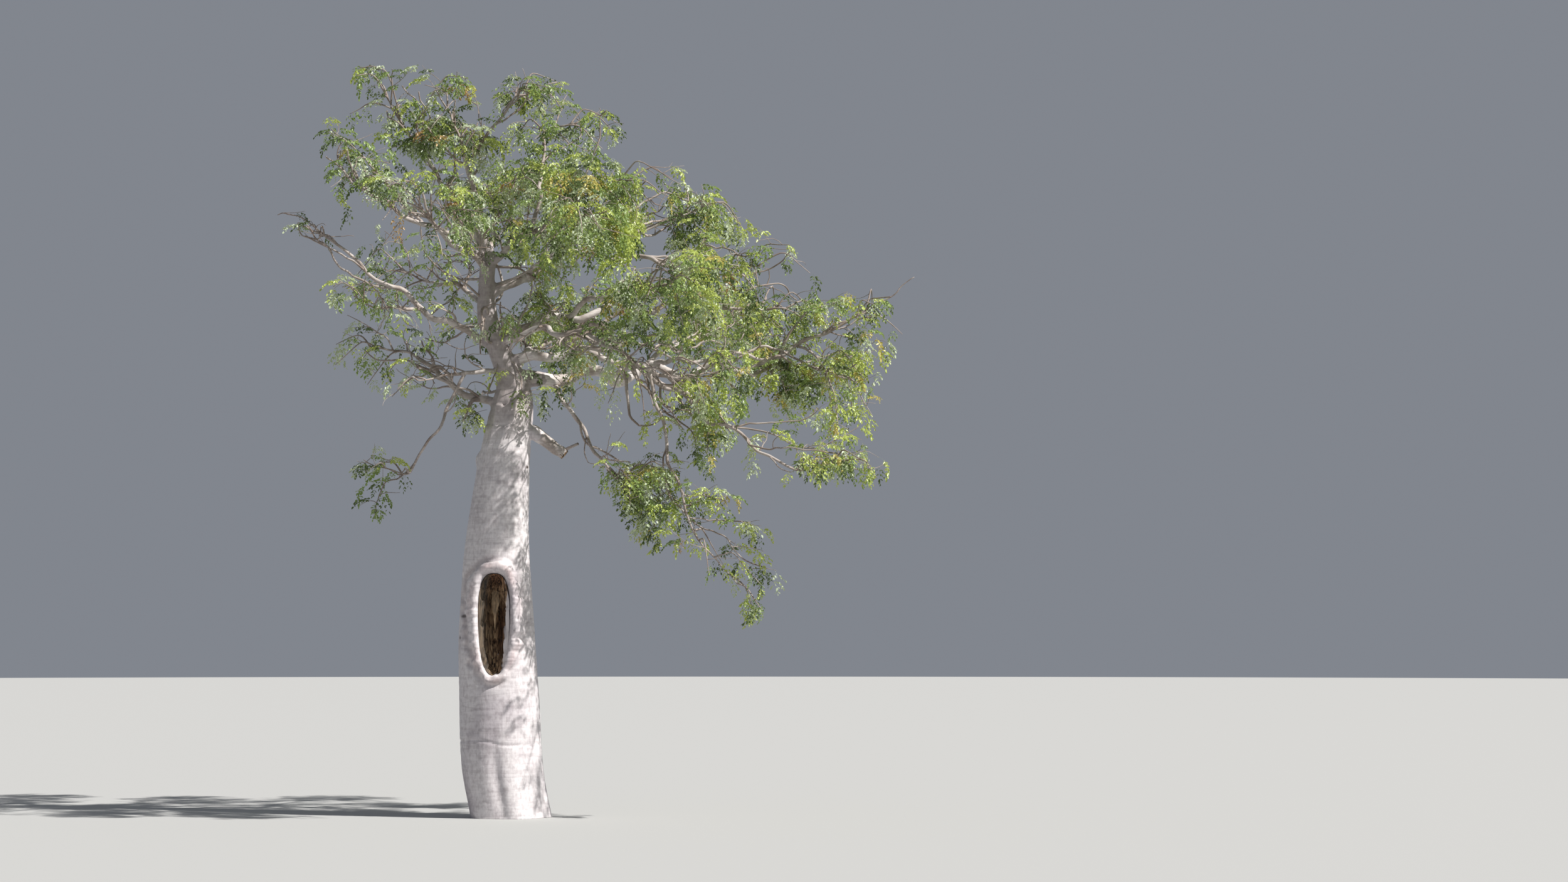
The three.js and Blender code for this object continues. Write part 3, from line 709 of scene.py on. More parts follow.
def bark_marks():
    """Masks for blotches, level rings, grain, streaks, wrinkles and scars, from object coordinates."""
    group = bpy.data.node_groups.new("bark_marks", "ShaderNodeTree")
    group.interface.new_socket("Vector", in_out="INPUT", socket_type="NodeSocketVector")
    for name in ("Blotch size", "Ring size", "Scar size", "Wrinkle size"):
        group.interface.new_socket(name, in_out="INPUT", socket_type="NodeSocketFloat")
    for name in ("Blotches", "Rings", "Grain", "Scars", "Wrinkles", "Streaks"):
        group.interface.new_socket(name, in_out="OUTPUT", socket_type="NodeSocketFloat")
    nodes, links = group.nodes, group.links
    start = nodes.new("NodeGroupInput")
    end = nodes.new("NodeGroupOutput")

    def stretched(scale):
        mapping = nodes.new("ShaderNodeMapping")
        mapping.inputs["Scale"].default_value = scale
        links.new(start.outputs["Vector"], mapping.inputs["Vector"])
        return mapping

    def noisy(mapping, size, detail, name):
        texture = nodes.new("ShaderNodeTexNoise")
        texture.inputs["Detail"].default_value = detail
        links.new(mapping.outputs[0], texture.inputs["Vector"])
        if isinstance(size, str):
            links.new(start.outputs[size], texture.inputs["Scale"])
        else:
            texture.inputs["Scale"].default_value = size
        links.new(texture.outputs["Fac"], end.inputs[name])

    noisy(stretched((1, 1, 0.6)), "Blotch size", 6, "Blotches")
    noisy(stretched((0.16, 0.16, 1)), "Ring size", 4, "Rings")
    noisy(stretched((1, 1, 0.7)), 38, 10, "Grain")
    noisy(stretched((1, 1, 0.1)), 80, 5, "Streaks")
    lines = nodes.new("ShaderNodeTexNoise")
    lines.inputs["Detail"].default_value = 1
    links.new(stretched((0.05, 0.05, 1)).outputs[0], lines.inputs["Vector"])
    links.new(start.outputs["Wrinkle size"], lines.inputs["Scale"])
    links.new(reckoned(nodes, links, "COMPARE", lines.outputs["Fac"], 0.5, 0.01), end.inputs["Wrinkles"])
    spots = nodes.new("ShaderNodeTexVoronoi")
    links.new(stretched((1, 1, 2.2)).outputs[0], spots.inputs["Vector"])
    links.new(start.outputs["Scar size"], spots.inputs["Scale"])
    near = ranged(nodes, links, spots.outputs["Distance"], 0.05, 0.13, 1, 0)
    chosen = ranged(nodes, links, spots.outputs["Color"], 0.6, 0.7)
    links.new(reckoned(nodes, links, "MULTIPLY", near, chosen), end.inputs["Scars"])
    return group


marks = bark_marks()


def marked(nodes, links, **scales):
    """The group of marks, each at the scale that is given by its name."""
    place = nodes.new("ShaderNodeTexCoord")
    node = nodes.new("ShaderNodeGroup")
    node.node_tree = marks
    for name, scale in scales.items():
        node.inputs[name.capitalize() + " size"].default_value = scale
    links.new(place.outputs["Object"], node.inputs["Vector"])
    return node


def ramp(nodes, links, value, stops):
    """A colour that changes with a value, from stops in rising order."""
    node = nodes.new("ShaderNodeValToRGB")
    links.new(value, node.inputs["Fac"])
    elements = node.color_ramp.elements
    while len(elements) < len(stops):
        elements.new(0.5)
    for element, (position, color) in zip(elements, stops):
        element.position = position
        element.color = (*color, 1)
    return node.outputs["Color"]


def mix(nodes, links, share, first, second, blend="MIX"):
    """A second colour laid over a first by a share."""
    node = nodes.new("ShaderNodeMix")
    node.data_type = "RGBA"
    node.blend_type = blend
    for socket, value in (("Factor", share), ("A", first), ("B", second)):
        index = {"Factor": 0, "A": 6, "B": 7}[socket]
        if hasattr(value, "is_linked"):
            links.new(value, node.inputs[index])
        else:
            node.inputs[index].default_value = value if socket == "Factor" else (*value, 1)
    return node.outputs[2]


def raised(nodes, links, heights, distance, strength):
    """One bump from several heights, each with its weight."""
    total = 0
    for height, weight in heights:
        total = reckoned(nodes, links, "MULTIPLY_ADD", height, weight, total)
    bump = nodes.new("ShaderNodeBump")
    bump.inputs["Distance"].default_value = distance
    bump.inputs["Strength"].default_value = strength
    links.new(total, bump.inputs["Height"])
    return bump.outputs["Normal"]


def trunk_bark():
    material, nodes, links = new_material("trunk_bark")
    shader = nodes["Principled BSDF"]
    node = marked(nodes, links, blotch=2.6, ring=46, scar=3.2, wrinkle=8)
    color = ramp(nodes, links, node.outputs["Blotches"], [(0.3, BARK_LILAC), (0.52, BARK_WHITE)])
    for mark, share, darkest, dark, end in TRUNK_MARKS:
        shade = ramp(nodes, links, node.outputs[mark], sorted([(darkest, dark), (end, WHITE)]))
        color = mix(nodes, links, share, color, shade, "MULTIPLY")
    # Painted shade of the crown over the neck, partly greyer bark: above a height that wavers with the
    # blotches, the colour is darkened.
    place = nodes.new("ShaderNodeTexCoord")
    parts = nodes.new("ShaderNodeSeparateXYZ")
    links.new(place.outputs["Object"], parts.inputs[0])
    blotches = node.outputs["Blotches"]
    height = reckoned(nodes, links, "MULTIPLY_ADD", blotches, NECK_UNEVEN, parts.outputs["Z"])
    neck = ranged(nodes, links, height, NECK_FROM, NECK_TO)
    color = mix(nodes, links, neck, color, mix(nodes, links, 1, color, NECK_GREY_AND_SHADE, "MULTIPLY"))
    roll = kept_value(nodes, links, "roll", 0.75)
    color = mix(nodes, links, roll, color, mix(nodes, links, 1, color, BARK_ROLL, "MULTIPLY"))
    # Painted shade in the furrow round the lip.
    color = mix(nodes, links, kept_value(nodes, links, "furrow", 0.8), color, FURROW_SHADE)
    color = mix(nodes, links, node.outputs["Scars"], color, BARK_SCAR_AND_PIT_SHADE)
    # Near-black painted shade in the pits of dead buds.
    color = mix(nodes, links, kept_value(nodes, links, "pit_shade", 1.0), color, BARK_SCAR_AND_PIT_SHADE)
    links.new(color, shader.inputs["Base Color"])
    heights = [(node.outputs["Rings"], 0.8), (node.outputs["Grain"], 0.8), (node.outputs["Streaks"], 0.5)]
    links.new(raised(nodes, links, heights, 0.004, 0.42), shader.inputs["Normal"])
    shader.inputs["Roughness"].default_value = 0.55
    return material


trunk.data.materials.clear()
trunk.data.materials.append(trunk_bark())
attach(trunk, "root")
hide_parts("trunk")

# The boughs' skin. Each limb is a closed tube along its smoothed line, uneven as the real crooked
# wood, and rises out of its collar or its carrier. Thick limbs are nearly as pale as the trunk, thin
# ones are a pinkish grey brown, so the skin keeps each limb's girth as a value.
LIMB_RELIEF = 0.06
LIMB_PALE = (0.64, 0.595, 0.58)
LIMB_GREY = (0.37, 0.32, 0.29)
LIMB_PINK = (0.235, 0.18, 0.15)
LIMB_RING = (0.55, 0.5, 0.5)
THIN_GIRTH = 0.005
THICK_GIRTH = 0.03
SNAPPED_AT = 0.94
SNAPPED_REACH = 0.15
SNAPPED_HEADING = math.radians(-20)
SNAPPED_RISE = 0.062
SNAPPED_BUTT = 0.014
SNAPPED_TIP = 0.011


def sides_for(radius):
    """How many sides a tube has, the more the thicker it is."""
    return 16 if radius > 0.03 else 12 if radius > 0.018 else 8


skins = Heap()
for name, carrier, *_ in BOUGHS:
    limb = limbs[name]
    hidden = 0
    if carrier == "trunk":
        out = np.array([out_of_trunk(place) for place in limb.path])
        hidden = int(np.argmax(out > -0.01))
    radii = girths_along(name, limb.shares[hidden:])
    end = -0.6 if name == "stub_right" else 0.4
    skins.add(*tube(limb.path[hidden:], radii, sides_for(limb.butt), LIMB_RELIEF, end))
stub = limbs["stub_right"]
snapped_start = stub.on_path(SNAPPED_AT)
snapped_way = np.array([
    SNAPPED_REACH * math.cos(SNAPPED_HEADING), SNAPPED_REACH * math.sin(SNAPPED_HEADING), SNAPPED_RISE
])
snapped = np.array([snapped_start + snapped_way * share for share in np.linspace(0, 1, 9)])
skins.add(*tube(snapped, np.linspace(SNAPPED_BUTT, SNAPPED_TIP, 9), 8, LIMB_RELIEF, -0.5))
limb_skin = skins.made("limb_bark")
limb_skin.data.shade_smooth()


def limb_bark():
    material, nodes, links = new_material("limb_bark")
    shader = nodes["Principled BSDF"]
    node = marked(nodes, links, blotch=7, ring=120, scar=9, wrinkle=30)
    thick = ranged(nodes, links, kept_value(nodes, links, "girth", 1.0), THIN_GIRTH, THICK_GIRTH)
    pale = ramp(nodes, links, node.outputs["Blotches"], [(0.37, LIMB_GREY), (0.55, LIMB_PALE)])
    thin = ramp(nodes, links, node.outputs["Blotches"], [(0.4, LIMB_PINK), (0.62, LIMB_GREY)])
    color = mix(nodes, links, thick, thin, pale)
    shade = ramp(nodes, links, node.outputs["Rings"], [(0.38, LIMB_RING), (0.6, WHITE)])
    color = mix(nodes, links, 0.5, color, shade, "MULTIPLY")
    color = mix(nodes, links, node.outputs["Scars"], color, BARK_SCAR_AND_PIT_SHADE)
    links.new(color, shader.inputs["Base Color"])
    heights = [(node.outputs["Rings"], 0.6), (node.outputs["Blotches"], 0.8)]
    links.new(raised(nodes, links, heights, 0.003, 0.5), shader.inputs["Normal"])
    shader.inputs["Roughness"].default_value = 0.62
    return material


wood = limb_bark()
limb_skin.data.materials.append(wood)
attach(limb_skin, "root")
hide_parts(*limbs)

# The rotten wood inside the hollow. Dead heartwood lines the space as a rough bowl of upright fibres,
# ochre and brown and nearly black, with painted shade in a cleft and under its top, a painted shade on
# the left wall that is partly greyer wood, and a rim of live pale wood on the right. A long splinter of
# it hangs from the top, and the stub ends in the same dead wood.
WOOD_INSIDE = 0.97
WOOD_FROM = 0.022
WOOD_RIM = 0.05
WOOD_RIM_WIDTH = 0.3
FIBRES = 0.016
LEDGES = 5.5
RIM_EDGE = 0.03
GREY_FROM = 0.5
GREY_EDGE = 0.35
SPLINTER_TOP = 1.86
SPLINTER_TIP = 1.5
SPLINTER_HALF_WIDTH = 0.032
SPLINTER_RAGGED = 0.012
SPLINTER_ASIDE = 0.004
SPLINTER_IN = 0.09
SPLINTER_LEAN = 0.13
SPLINTER_POINT = 0.06
SPLINTER_RIDGES = 0.012
STUB_END_GIRTH = 0.93
STUB_END_PAST = 0.15
WOOD_OCHRE = (0.52, 0.37, 0.22)
WOOD_SPLINTER = (0.62, 0.47, 0.3)
WOOD_BROWN = (0.22, 0.135, 0.075)
WOOD_DARK = (0.035, 0.022, 0.015)
# Painted shade on the hollow's left wall, partly greyer wood.
WOOD_GREY_SHADE = (0.12, 0.108, 0.092)
# Painted shade in a cleft and under the top of the hollow.
WOOD_CLEFT_SHADE = (0.42, 0.25, 0.17)
WOOD_PATCH = (0.4, 0.33, 0.28)

bpy.ops.object.select_all(action="DESELECT")
bpy.ops.mesh.primitive_uv_sphere_add(segments=160, ring_count=96, radius=1)
heart = bpy.context.object
heart.name = "hollow_wood"
places = take_vertices(heart)
rims = np.zeros(len(places))
grey_shades = np.zeros(len(places))
cleft_shades = np.zeros(len(places))
for i, (across, inward, up) in enumerate(places):
    aside = across / math.sqrt(max(1 - up**2, 0.01))
    torn = 0.05 * noise.noise(Vector((across * 5, inward * 5, up * 9)))
    rim_width = WOOD_RIM_WIDTH * math.exp(-(((up + 0.1) / 0.5) ** 2))
    rims[i] = held((aside - 1 + rim_width + torn) / RIM_EDGE)
    # Painted shade on the left wall, partly greyer wood.
    grey_shades[i] = held((-aside - GREY_FROM + torn) / GREY_EDGE)
    # Painted shade in a cleft right of the middle and under the hollow's top.
    cleft_shade = math.exp(-(((aside - 0.45) / 0.35) ** 2) - ((up + 0.05) / 0.5) ** 2)
    cleft_shades[i] = max(cleft_shade, math.exp(-(((1 - up) / 0.3) ** 2)))
    x = HOLLOW_X + across * mouth_width(up) * WOOD_INSIDE
    y = hollow_face + inward * HOLLOW_DEPTH * WOOD_INSIDE
    z = HOLLOW_Z + up * MOUTH_HALF_HEIGHT * WOOD_INSIDE
    fibre = abs(noise.noise(Vector((x * 42, y * 30, z * 3))))
    fibre += 0.5 * abs(noise.noise(Vector((x * 90, y * 70, z * 7))))
    flake = noise_at(x, y, z, 17, 4.5)
    ledge = (z * LEDGES + 1.7 * noise_at(x, y, z, 22, 1.5)) % 1
    inset = FIBRES * (1.0 * fibre + 1.8 * max(flake, 0) + 1.5 * ledge)
    inset *= held((y - hollow_face - WOOD_FROM) / WOOD_RIM, 0.15)
    toward = unit(np.array([HOLLOW_X - x, hollow_face - y, 0.0]) + 1e-6)
    places[i] = np.array([x, y, z]) + toward * inset
put_vertices(heart, places)
for name, values in (("rim", rims), ("grey", grey_shades), ("cleft_shade", cleft_shades)):
    kept = heart.data.attributes.new(name, "FLOAT", "POINT")
    kept.data.foreach_set("value", values)
bpy.ops.object.mode_set(mode="EDIT")
bpy.ops.mesh.select_all(action="SELECT")
bpy.ops.mesh.bisect(
    plane_co=(0, hollow_face + WOOD_FROM, 0), plane_no=(0, 1, 0), use_fill=False, clear_inner=True
)
bpy.ops.mesh.select_all(action="SELECT")
bpy.ops.mesh.flip_normals()
bpy.ops.object.mode_set(mode="OBJECT")
apply_modifier(heart, "SOLIDIFY", thickness=0.006, offset=-1)

bpy.ops.object.select_all(action="DESELECT")
bpy.ops.mesh.primitive_cube_add(size=1)
splinter = bpy.context.object
bpy.ops.object.mode_set(mode="EDIT")
bpy.ops.mesh.select_all(action="SELECT")
bpy.ops.mesh.subdivide(number_cuts=22)
bpy.ops.object.mode_set(mode="OBJECT")
places = take_vertices(splinter)
for i, (across, deep, up) in enumerate(places):
    share = up + 0.5
    z = SPLINTER_TIP + share * (SPLINTER_TOP - SPLINTER_TIP)
    wide = SPLINTER_POINT + (1 - SPLINTER_POINT) * min(share * 1.6, 1) ** 1.6
    width = SPLINTER_HALF_WIDTH * wide * (1 - 0.35 * share**3)
    ragged = noise.noise(Vector((across * 5, deep * 3, z * 24))) * SPLINTER_RAGGED * min(3 * share, 1)
    x = HOLLOW_X + SPLINTER_ASIDE + across * 2 * width + ragged
    sunk = hollow_face + SPLINTER_IN + SPLINTER_LEAN * share**2 + deep * (0.012 + 0.03 * share)
    y = sunk + SPLINTER_RIDGES * abs(noise.noise(Vector((x * 60, 1.7, z * 4))))
    places[i] = (x, y, z)
put_vertices(splinter, places)
pale = splinter.data.attributes.new("pale", "FLOAT", "POINT")
pale.data.foreach_set("value", np.ones(len(places)))
stub_end = stub.path[-3:]
stub_radii = STUB_END_GIRTH * girths_along("stub_right", stub.shares[-3:])
broken = Heap()
broken.add(*tube(stub_end + STUB_END_PAST * (stub_end - stub_end[:1]), stub_radii, 18, 0.12, 0.12))
broken_wood = broken.made("broken_wood")
only(heart)
broken_wood.select_set(True)
splinter.select_set(True)
bpy.ops.object.join()
heart.data.shade_smooth()


def rotten_wood():
    material, nodes, links = new_material("rotten_wood")
    shader = nodes["Principled BSDF"]
    place = nodes.new("ShaderNodeTexCoord")
    mapping = nodes.new("ShaderNodeMapping")
    mapping.inputs["Scale"].default_value = (1, 0.8, 0.07)
    links.new(place.outputs["Object"], mapping.inputs["Vector"])
    fibres = nodes.new("ShaderNodeTexNoise")
    fibres.inputs["Scale"].default_value = 75
    fibres.inputs["Detail"].default_value = 8
    links.new(mapping.outputs[0], fibres.inputs["Vector"])
    decay = nodes.new("ShaderNodeTexNoise")
    decay.inputs["Scale"].default_value = 9
    links.new(place.outputs["Object"], decay.inputs["Vector"])
    stops = [(0.38, WOOD_DARK), (0.48, WOOD_BROWN), (0.64, WOOD_OCHRE)]
    grain = ramp(nodes, links, fibres.outputs["Fac"], stops)
    patches = ramp(nodes, links, decay.outputs["Fac"], [(0.38, WOOD_PATCH), (0.6, WHITE)])
    color = mix(nodes, links, 0.8, grain, patches, "MULTIPLY")
    # Painted shade in the cleft and under the top.
    color = mix(nodes, links, kept_value(nodes, links, "cleft_shade", 0.9), color, WOOD_CLEFT_SHADE, "MULTIPLY")
    # Painted shade on the left wall, partly greyer wood, laid over the fibres.
    grey = mix(nodes, links, 0.6, WOOD_GREY_SHADE, grain, "OVERLAY")
    color = mix(nodes, links, kept_value(nodes, links, "grey", 0.95), color, grey)
    color = mix(nodes, links, kept_value(nodes, links, "pale", 0.3), color, WOOD_SPLINTER)
    color = mix(nodes, links, kept_value(nodes, links, "rim", 0.9), color, BARK_WHITE)
    links.new(color, shader.inputs["Base Color"])
    links.new(raised(nodes, links, [(fibres.outputs["Fac"], 1.0)], 0.008, 0.9), shader.inputs["Normal"])
    shader.inputs["Roughness"].default_value = 0.9
    return material


heart.data.materials.append(rotten_wood())
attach(heart, "root")

# The stems and twigs. Each bough runs on in a stem that bears twigs turned by the golden angle, each
# of which arches over and hangs where a spray hangs on the solids. Side shoots leave every twig. Where
# the crown's outline ends, and where sky or bare wood shows in it, fewer of them grow.
FOLIAGE = [
    # the bough it grows on from, the stem's reach, heading and rise, spread of its leaves, fullness
    ("bough_high_left", 0.18, -144, 0.25, 0.4, 0.5),
    ("bough_top_left", 0.155, 168, 0.275, 0.4, 0.35),
    ("bough_crest", 0.15, 151, 0.36, 0.4, 0.4),
    ("bough_crest_right", 0.15, 17, 0.06, 0.43, 0.5),
    ("bough_high_right", 0.35, -12, 0.08, 0.51, 0.9),
    ("bough_high_centre", 0.285, 31, 0.11, 0.46, 0.6),
    ("bough_high_back", 0.425, 68, 0.275, 0.59, 1.0),
    ("bough_high_front", 0.425, -111, 0.145, 0.57, 0.7),
    ("bough_right_high", 0.31, 28, 0.13, 0.54, 0.8),
    ("bough_front_centre", 0.44, -80, 0.07, 0.59, 0.7),
    ("bough_right_shoulder", 0.33, -18, 0.0, 0.56, 0.9),
    ("bough_left_back", 0.41, 135, 0.14, 0.58, 1.0),
    ("bough_right_arch", 0.4, 20, 0.02, 0.54, 0.9),
    ("bough_front_right", 0.46, -52, 0.005, 0.59, 0.65),
    ("bough_left_long", 0.19, -170, 0.085, 0.26, 0.4),
    ("bough_left_lower", 0.25, -128, 0.075, 0.43, 0.7),
    ("bough_left_inner", 0.375, -148, -0.065, 0.35, 0.7),
    ("bough_left_low", 0.435, 161, 0.11, 0.43, 0.7),
    ("bough_left_hanging", 0.205, -153, 0.02, 0.26, 0.25),
    ("bough_right_mid", 0.425, -23, -0.02, 0.51, 0.55),
    ("bough_right_low", 0.465, 25, -0.11, 0.51, 0.9),
    ("bough_right_tip", 0.27, 0, 0.165, 0.4, 0.55),
    ("bough_front_low", 0.35, -54, -0.175, 0.54, 0.5),
    ("bough_right_bottom", 0.41, -21, 0.02, 0.46, 0.7),
    ("bough_hanging_low", 0.39, -17, -0.48, 0.4, 0.7),
    ("bough_hanging_centre", 0.225, -31, -0.06, 0.5, 0.75),
    ("bough_back_low", 0.4, 79, 0.215, 0.59, 1.0),
    ("bough_back_right", 0.455, 62, 0.165, 0.59, 1.0),
]
STEM_STEPS = 4
STEM_TIP = 0.0045
TWIG_SPREAD = 0.058
TWIG_FIRST = 0.12
TWIG_SHORTEST = 0.3
TWIG_LONGEST = 0.55
GOLDEN_ANGLE = math.pi * (3 - math.sqrt(5))
TWIG_ROLL = 0.5
TWIG_FORWARD = 0.5
TWIG_OUT = 1.1
TWIG_LIFT = 0.1
SPRAY_OUTLINE = [(0, 0), (0.52, 1), (0.68, 0.42), (1, 0.06), (0.64, -0.38), (0.6, -0.94)]
SPRAY_LENGTHS = [0.52, 0.43, 0.34, 0.26]
SPRAY_WIDTH = 0.72
SPRAY_SUNK = 0.09
SPRAY_SCATTER = 0.6
SPRAY_HANG = (0.5, 1.3)
SPRAY_ROLL = 0.9
SPACE_MARGIN = 0.01
TWIG_BUTT = 0.008
TWIG_TIP = 0.0026
SHOOT_BUTT = 0.0032
SHOOT_TIP = 0.0013
WOBBLE = 0.45
DROOP = np.array([0.0, 0.0, -0.4])
HANG_SHARE = 0.8
BARE_SHARE = 0.2
STEM_CROOK = 0.012
TWIG_CROOK = 0.014
TWIG_SAG = 0.02
SHOOT_LIFT = 0.25
SHOOTS_PER_TWIG = 4
SHOOTS_LAST = 0.95
SHOOT_SIZES = (0.7, 0.6)
EYE = np.array([2.175, -28.0, 1.5])
EDGE = np.array([
    # the crown's outline as seen from the front, clockwise from the tip on the left, across and up
    (-1.985, 4.74), (-1.915, 4.94), (-1.625, 4.825), (-1.5, 4.75), (-1.45, 4.85), (-1.475, 5.15),
    (-1.55, 5.425), (-1.55, 5.575), (-1.425, 5.6), (-1.325, 5.675), (-1.275, 5.85), (-1.275, 6.025),
    (-1.175, 6.04), (-0.875, 5.975), (-0.75, 6.025), (-0.575, 6.04), (-0.3, 5.95), (-0.2, 5.825),
    (-0.075, 5.925), (0.075, 6), (0.175, 6.05), (0.35, 5.95), (0.45, 5.8), (0.6, 5.575), (0.65, 5.675),
    (0.775, 5.7), (0.925, 5.5), (0.875, 5.325), (0.925, 5.19), (1.125, 5.24), (1.375, 5.21),
    (1.55, 5.19), (1.8, 4.825), (2.075, 4.65), (2.35, 4.54), (2.415, 4.3), (2.575, 4.31), (2.8, 4.21),
    (3.05, 4.19), (3.165, 4.15), (3.185, 3.775), (3.05, 3.5), (3.125, 2.775), (2.975, 2.625),
    (2.825, 2.675), (2.375, 2.69), (2.05, 2.625), (2, 2.35), (2.15, 2.175), (2.15, 1.825), (2.1, 1.45),
    (2, 1.4), (1.825, 1.5), (1.675, 1.8), (1.475, 2), (1.275, 1.975), (0.975, 2.125), (0.8, 2.4),
    (0.7, 2.7), (0.55, 2.825), (0.375, 3.05), (0.275, 3.175), (0.175, 3.15), (-0.125, 3.175),
    (-0.25, 3.05), (-0.525, 3.05), (-0.625, 3.25), (-0.875, 3.2), (-0.825, 2.7), (-0.95, 2.25),
    (-1.15, 2.3), (-1.325, 2.7), (-1.3, 3), (-1.075, 3.05), (-1.125, 3.25), (-1.275, 3.4),
    (-1.5, 3.45), (-1.5, 3.7), (-1.375, 3.8), (-1.35, 4), (-1.5, 4.025), (-1.5, 4.275), (-1.35, 4.35),
    (-1.375, 4.5), (-1.725, 4.675),
])
COVER = [
    # middle across and up as seen from the front, half width, half height, leaves there against the usual
    (-1.025, 4.1, 0.75, 0.9, 0.45),
    (-0.85, 4.765, 0.35, 0.12, 0.35),
    (-0.15, 4.5, 0.12, 0.2, 0.5),
    (-1.4, 5.325, 0.3, 0.3, 0.45),
    (-1.45, 4.15, 0.25, 0.25, 0.6),
    (-1.075, 5.825, 0.45, 0.25, 0.55),
    (-0.55, 5.8, 0.2, 0.2, 0.4),
    (0.575, 5.625, 0.3, 0.3, 0.45),
    (1.15, 4.8, 0.13, 0.6, 0.1),
    (2.15, 4.25, 0.225, 0.25, 0.2),
    (3.05, 4.05, 0.275, 0.3, 0.5),
    (1.125, 3.3, 0.31, 0.425, 0.22),
    (1.225, 3.56, 0.3, 0.11, 0.3),
    (2.05, 2.775, 0.19, 0.25, 0.15),
    (1.675, 1.85, 0.225, 0.35, 0.4),
    (0.475, 2.8, 0.18, 0.35, 0.1),
    (-0.975, 2.75, 0.3, 0.275, 0.4),
    (2.985, 3.35, 0.15, 0.275, 0.35),
    (-0.425, 3.55, 0.35, 0.225, 0.15),
    (0.025, 3.5, 0.275, 0.375, 0.08),
    (-0.625, 3.3, 0.25, 0.3, 0.25),
    (-0.225, 4.3, 0.225, 0.3, 0.5),
    (1.575, 2.25, 0.15, 0.15, 0.3),
    (0.725, 4.85, 0.4, 0.55, 1.7),
    (0.925, 4.4, 0.25, 0.45, 1.7),
    (0.175, 5.2, 0.55, 0.3, 1.4),
    (-0.775, 5.45, 0.25, 0.225, 1.5),
    (1.5, 4.5, 0.225, 0.55, 1.4),
    (2.15, 3.5, 0.225, 0.3, 1.8),
    (1.525, 3.95, 0.3, 0.25, 1.2),
    (2.575, 3.3, 0.175, 0.35, 1.1),
    (1.075, 2.4, 0.25, 0.25, 0.9),
]


def seen(place):
    """Where a place looks to be, from the front, on the upright plane through the trunk."""
    share = EYE[1] / (EYE[1] - place[1])
    return EYE[[0, 2]] + (place[[0, 2]] - EYE[[0, 2]]) * share


def behind(across, up, depth):
    """The place at a depth that looks to be at a given spot of that plane."""
    share = (EYE[1] - depth) / EYE[1]
    return np.array([EYE[0] + (across - EYE[0]) * share, depth, EYE[2] + (up - EYE[2]) * share])


def cover(place):
    """How many leaves stand at a place for each usual one: few where sky or bare wood shows."""
    across, up = seen(place)
    above = (EDGE[:, 1] > up) != (np.roll(EDGE[:, 1], 1) > up)
    last_across, last_up = np.roll(EDGE, 1, axis=0)[above].T
    here_across, here_up = EDGE[above].T
    crossings = here_across + (last_across - here_across) * (up - here_up) / (last_up - here_up)
    if (crossings > across).sum() % 2 == 0:
        return -1.0
    share = 1.0
    for at_across, at_up, half_width, half_height, left in COVER:
        far = math.hypot((across - at_across) / half_width, (up - at_up) / half_height)
        share *= 1 + (left - 1) * held((1.2 - far) / 0.4)
    return share


def turned(way, axis, angle):
    """A direction turned round an axis."""
    cos, sin = math.cos(angle), math.sin(angle)
    return way * cos + np.cross(axis, way) * sin + axis * axis.dot(way) * (1 - cos)


class Stem:
    """A mass's stem: a smooth arc on from its bough's tip, also kept as the solids' straight pieces."""

    def __init__(self, bough, reach, heading, rise, spread):
        self.spread = spread
        self.butt = bough.tip
        ahead = unit(bough.place(1) - bough.place(0.9999))
        self.start = bough.place(1)
        end = self.start + np.array([reach * math.cos(heading), reach * math.sin(heading), rise])
        early = self.start + ahead * np.linalg.norm(end - self.start) / 3
        late = end + (self.start - end) / 3
        self.controls = (self.start, early, late, end)
        self.points = np.array([self.place(i / STEM_STEPS) for i in range(STEM_STEPS + 1)])

    def place(self, t):
        a, b, c, d = self.controls
        return a * (1 - t) ** 3 + b * 3 * t * (1 - t) ** 2 + c * 3 * t**2 * (1 - t) + d * t**3

    def ahead(self, t):
        return unit(self.place(min(t + 0.0001, 1)) - self.place(max(t - 0.0001, 0)))

    def chord(self, t):
        i = min(int(t * STEM_STEPS), STEM_STEPS - 1)
        return self.points[i] + (self.points[i + 1] - self.points[i]) * (t * STEM_STEPS - i)


stems = [
    Stem(limbs[carrier], reach, math.radians(heading), rise, spread)
    for carrier, reach, heading, rise, spread, _ in FOLIAGE
]
stem_starts = np.array([stem.points[:-1] for stem in stems])
stem_pieces = np.array([np.diff(stem.points, axis=0) for stem in stems])


def distances(place):
    """How far a place is from each mass's stem."""
    along = ((place - stem_starts) * stem_pieces).sum(axis=2) / (stem_pieces**2).sum(axis=2)
    nearest = stem_starts + stem_pieces * np.clip(along, 0, 1)[:, :, None]
    return np.linalg.norm(place - nearest, axis=2).min(axis=1)


def in_space(place, index):
    """Whether a place is in its own mass's space, as on the solids."""
    far = distances(place)
    own = far[index]
    if own > stems[index].spread or place[2] < stems[index].spread:
        return False
    return bool((np.delete(far, index) > own + SPACE_MARGIN).all())


def jitter(random):
    """A random offset of up to a half each way."""
    return np.array([random() - 0.5, random() - 0.5, random() - 0.5])


def dealt(first, last, k, count, random):
    """A random place in the kth of so many equal steps from first to last."""
    return first + (last - first) * (k + random()) / count


def walk(start, way, length, steps, bend, wobble, random):
    """A shoot's line: it turns one way for a while, then another, and bends by its weight."""
    points = [start]
    turn = np.zeros(3)
    for _ in range(steps):
        turn = 0.5 * turn + wobble * jitter(random)
        way = unit(way + turn + bend / steps)
        points.append(points[-1] + way * length / steps)
    return np.array(points)


twigs = Heap()
shoots = []


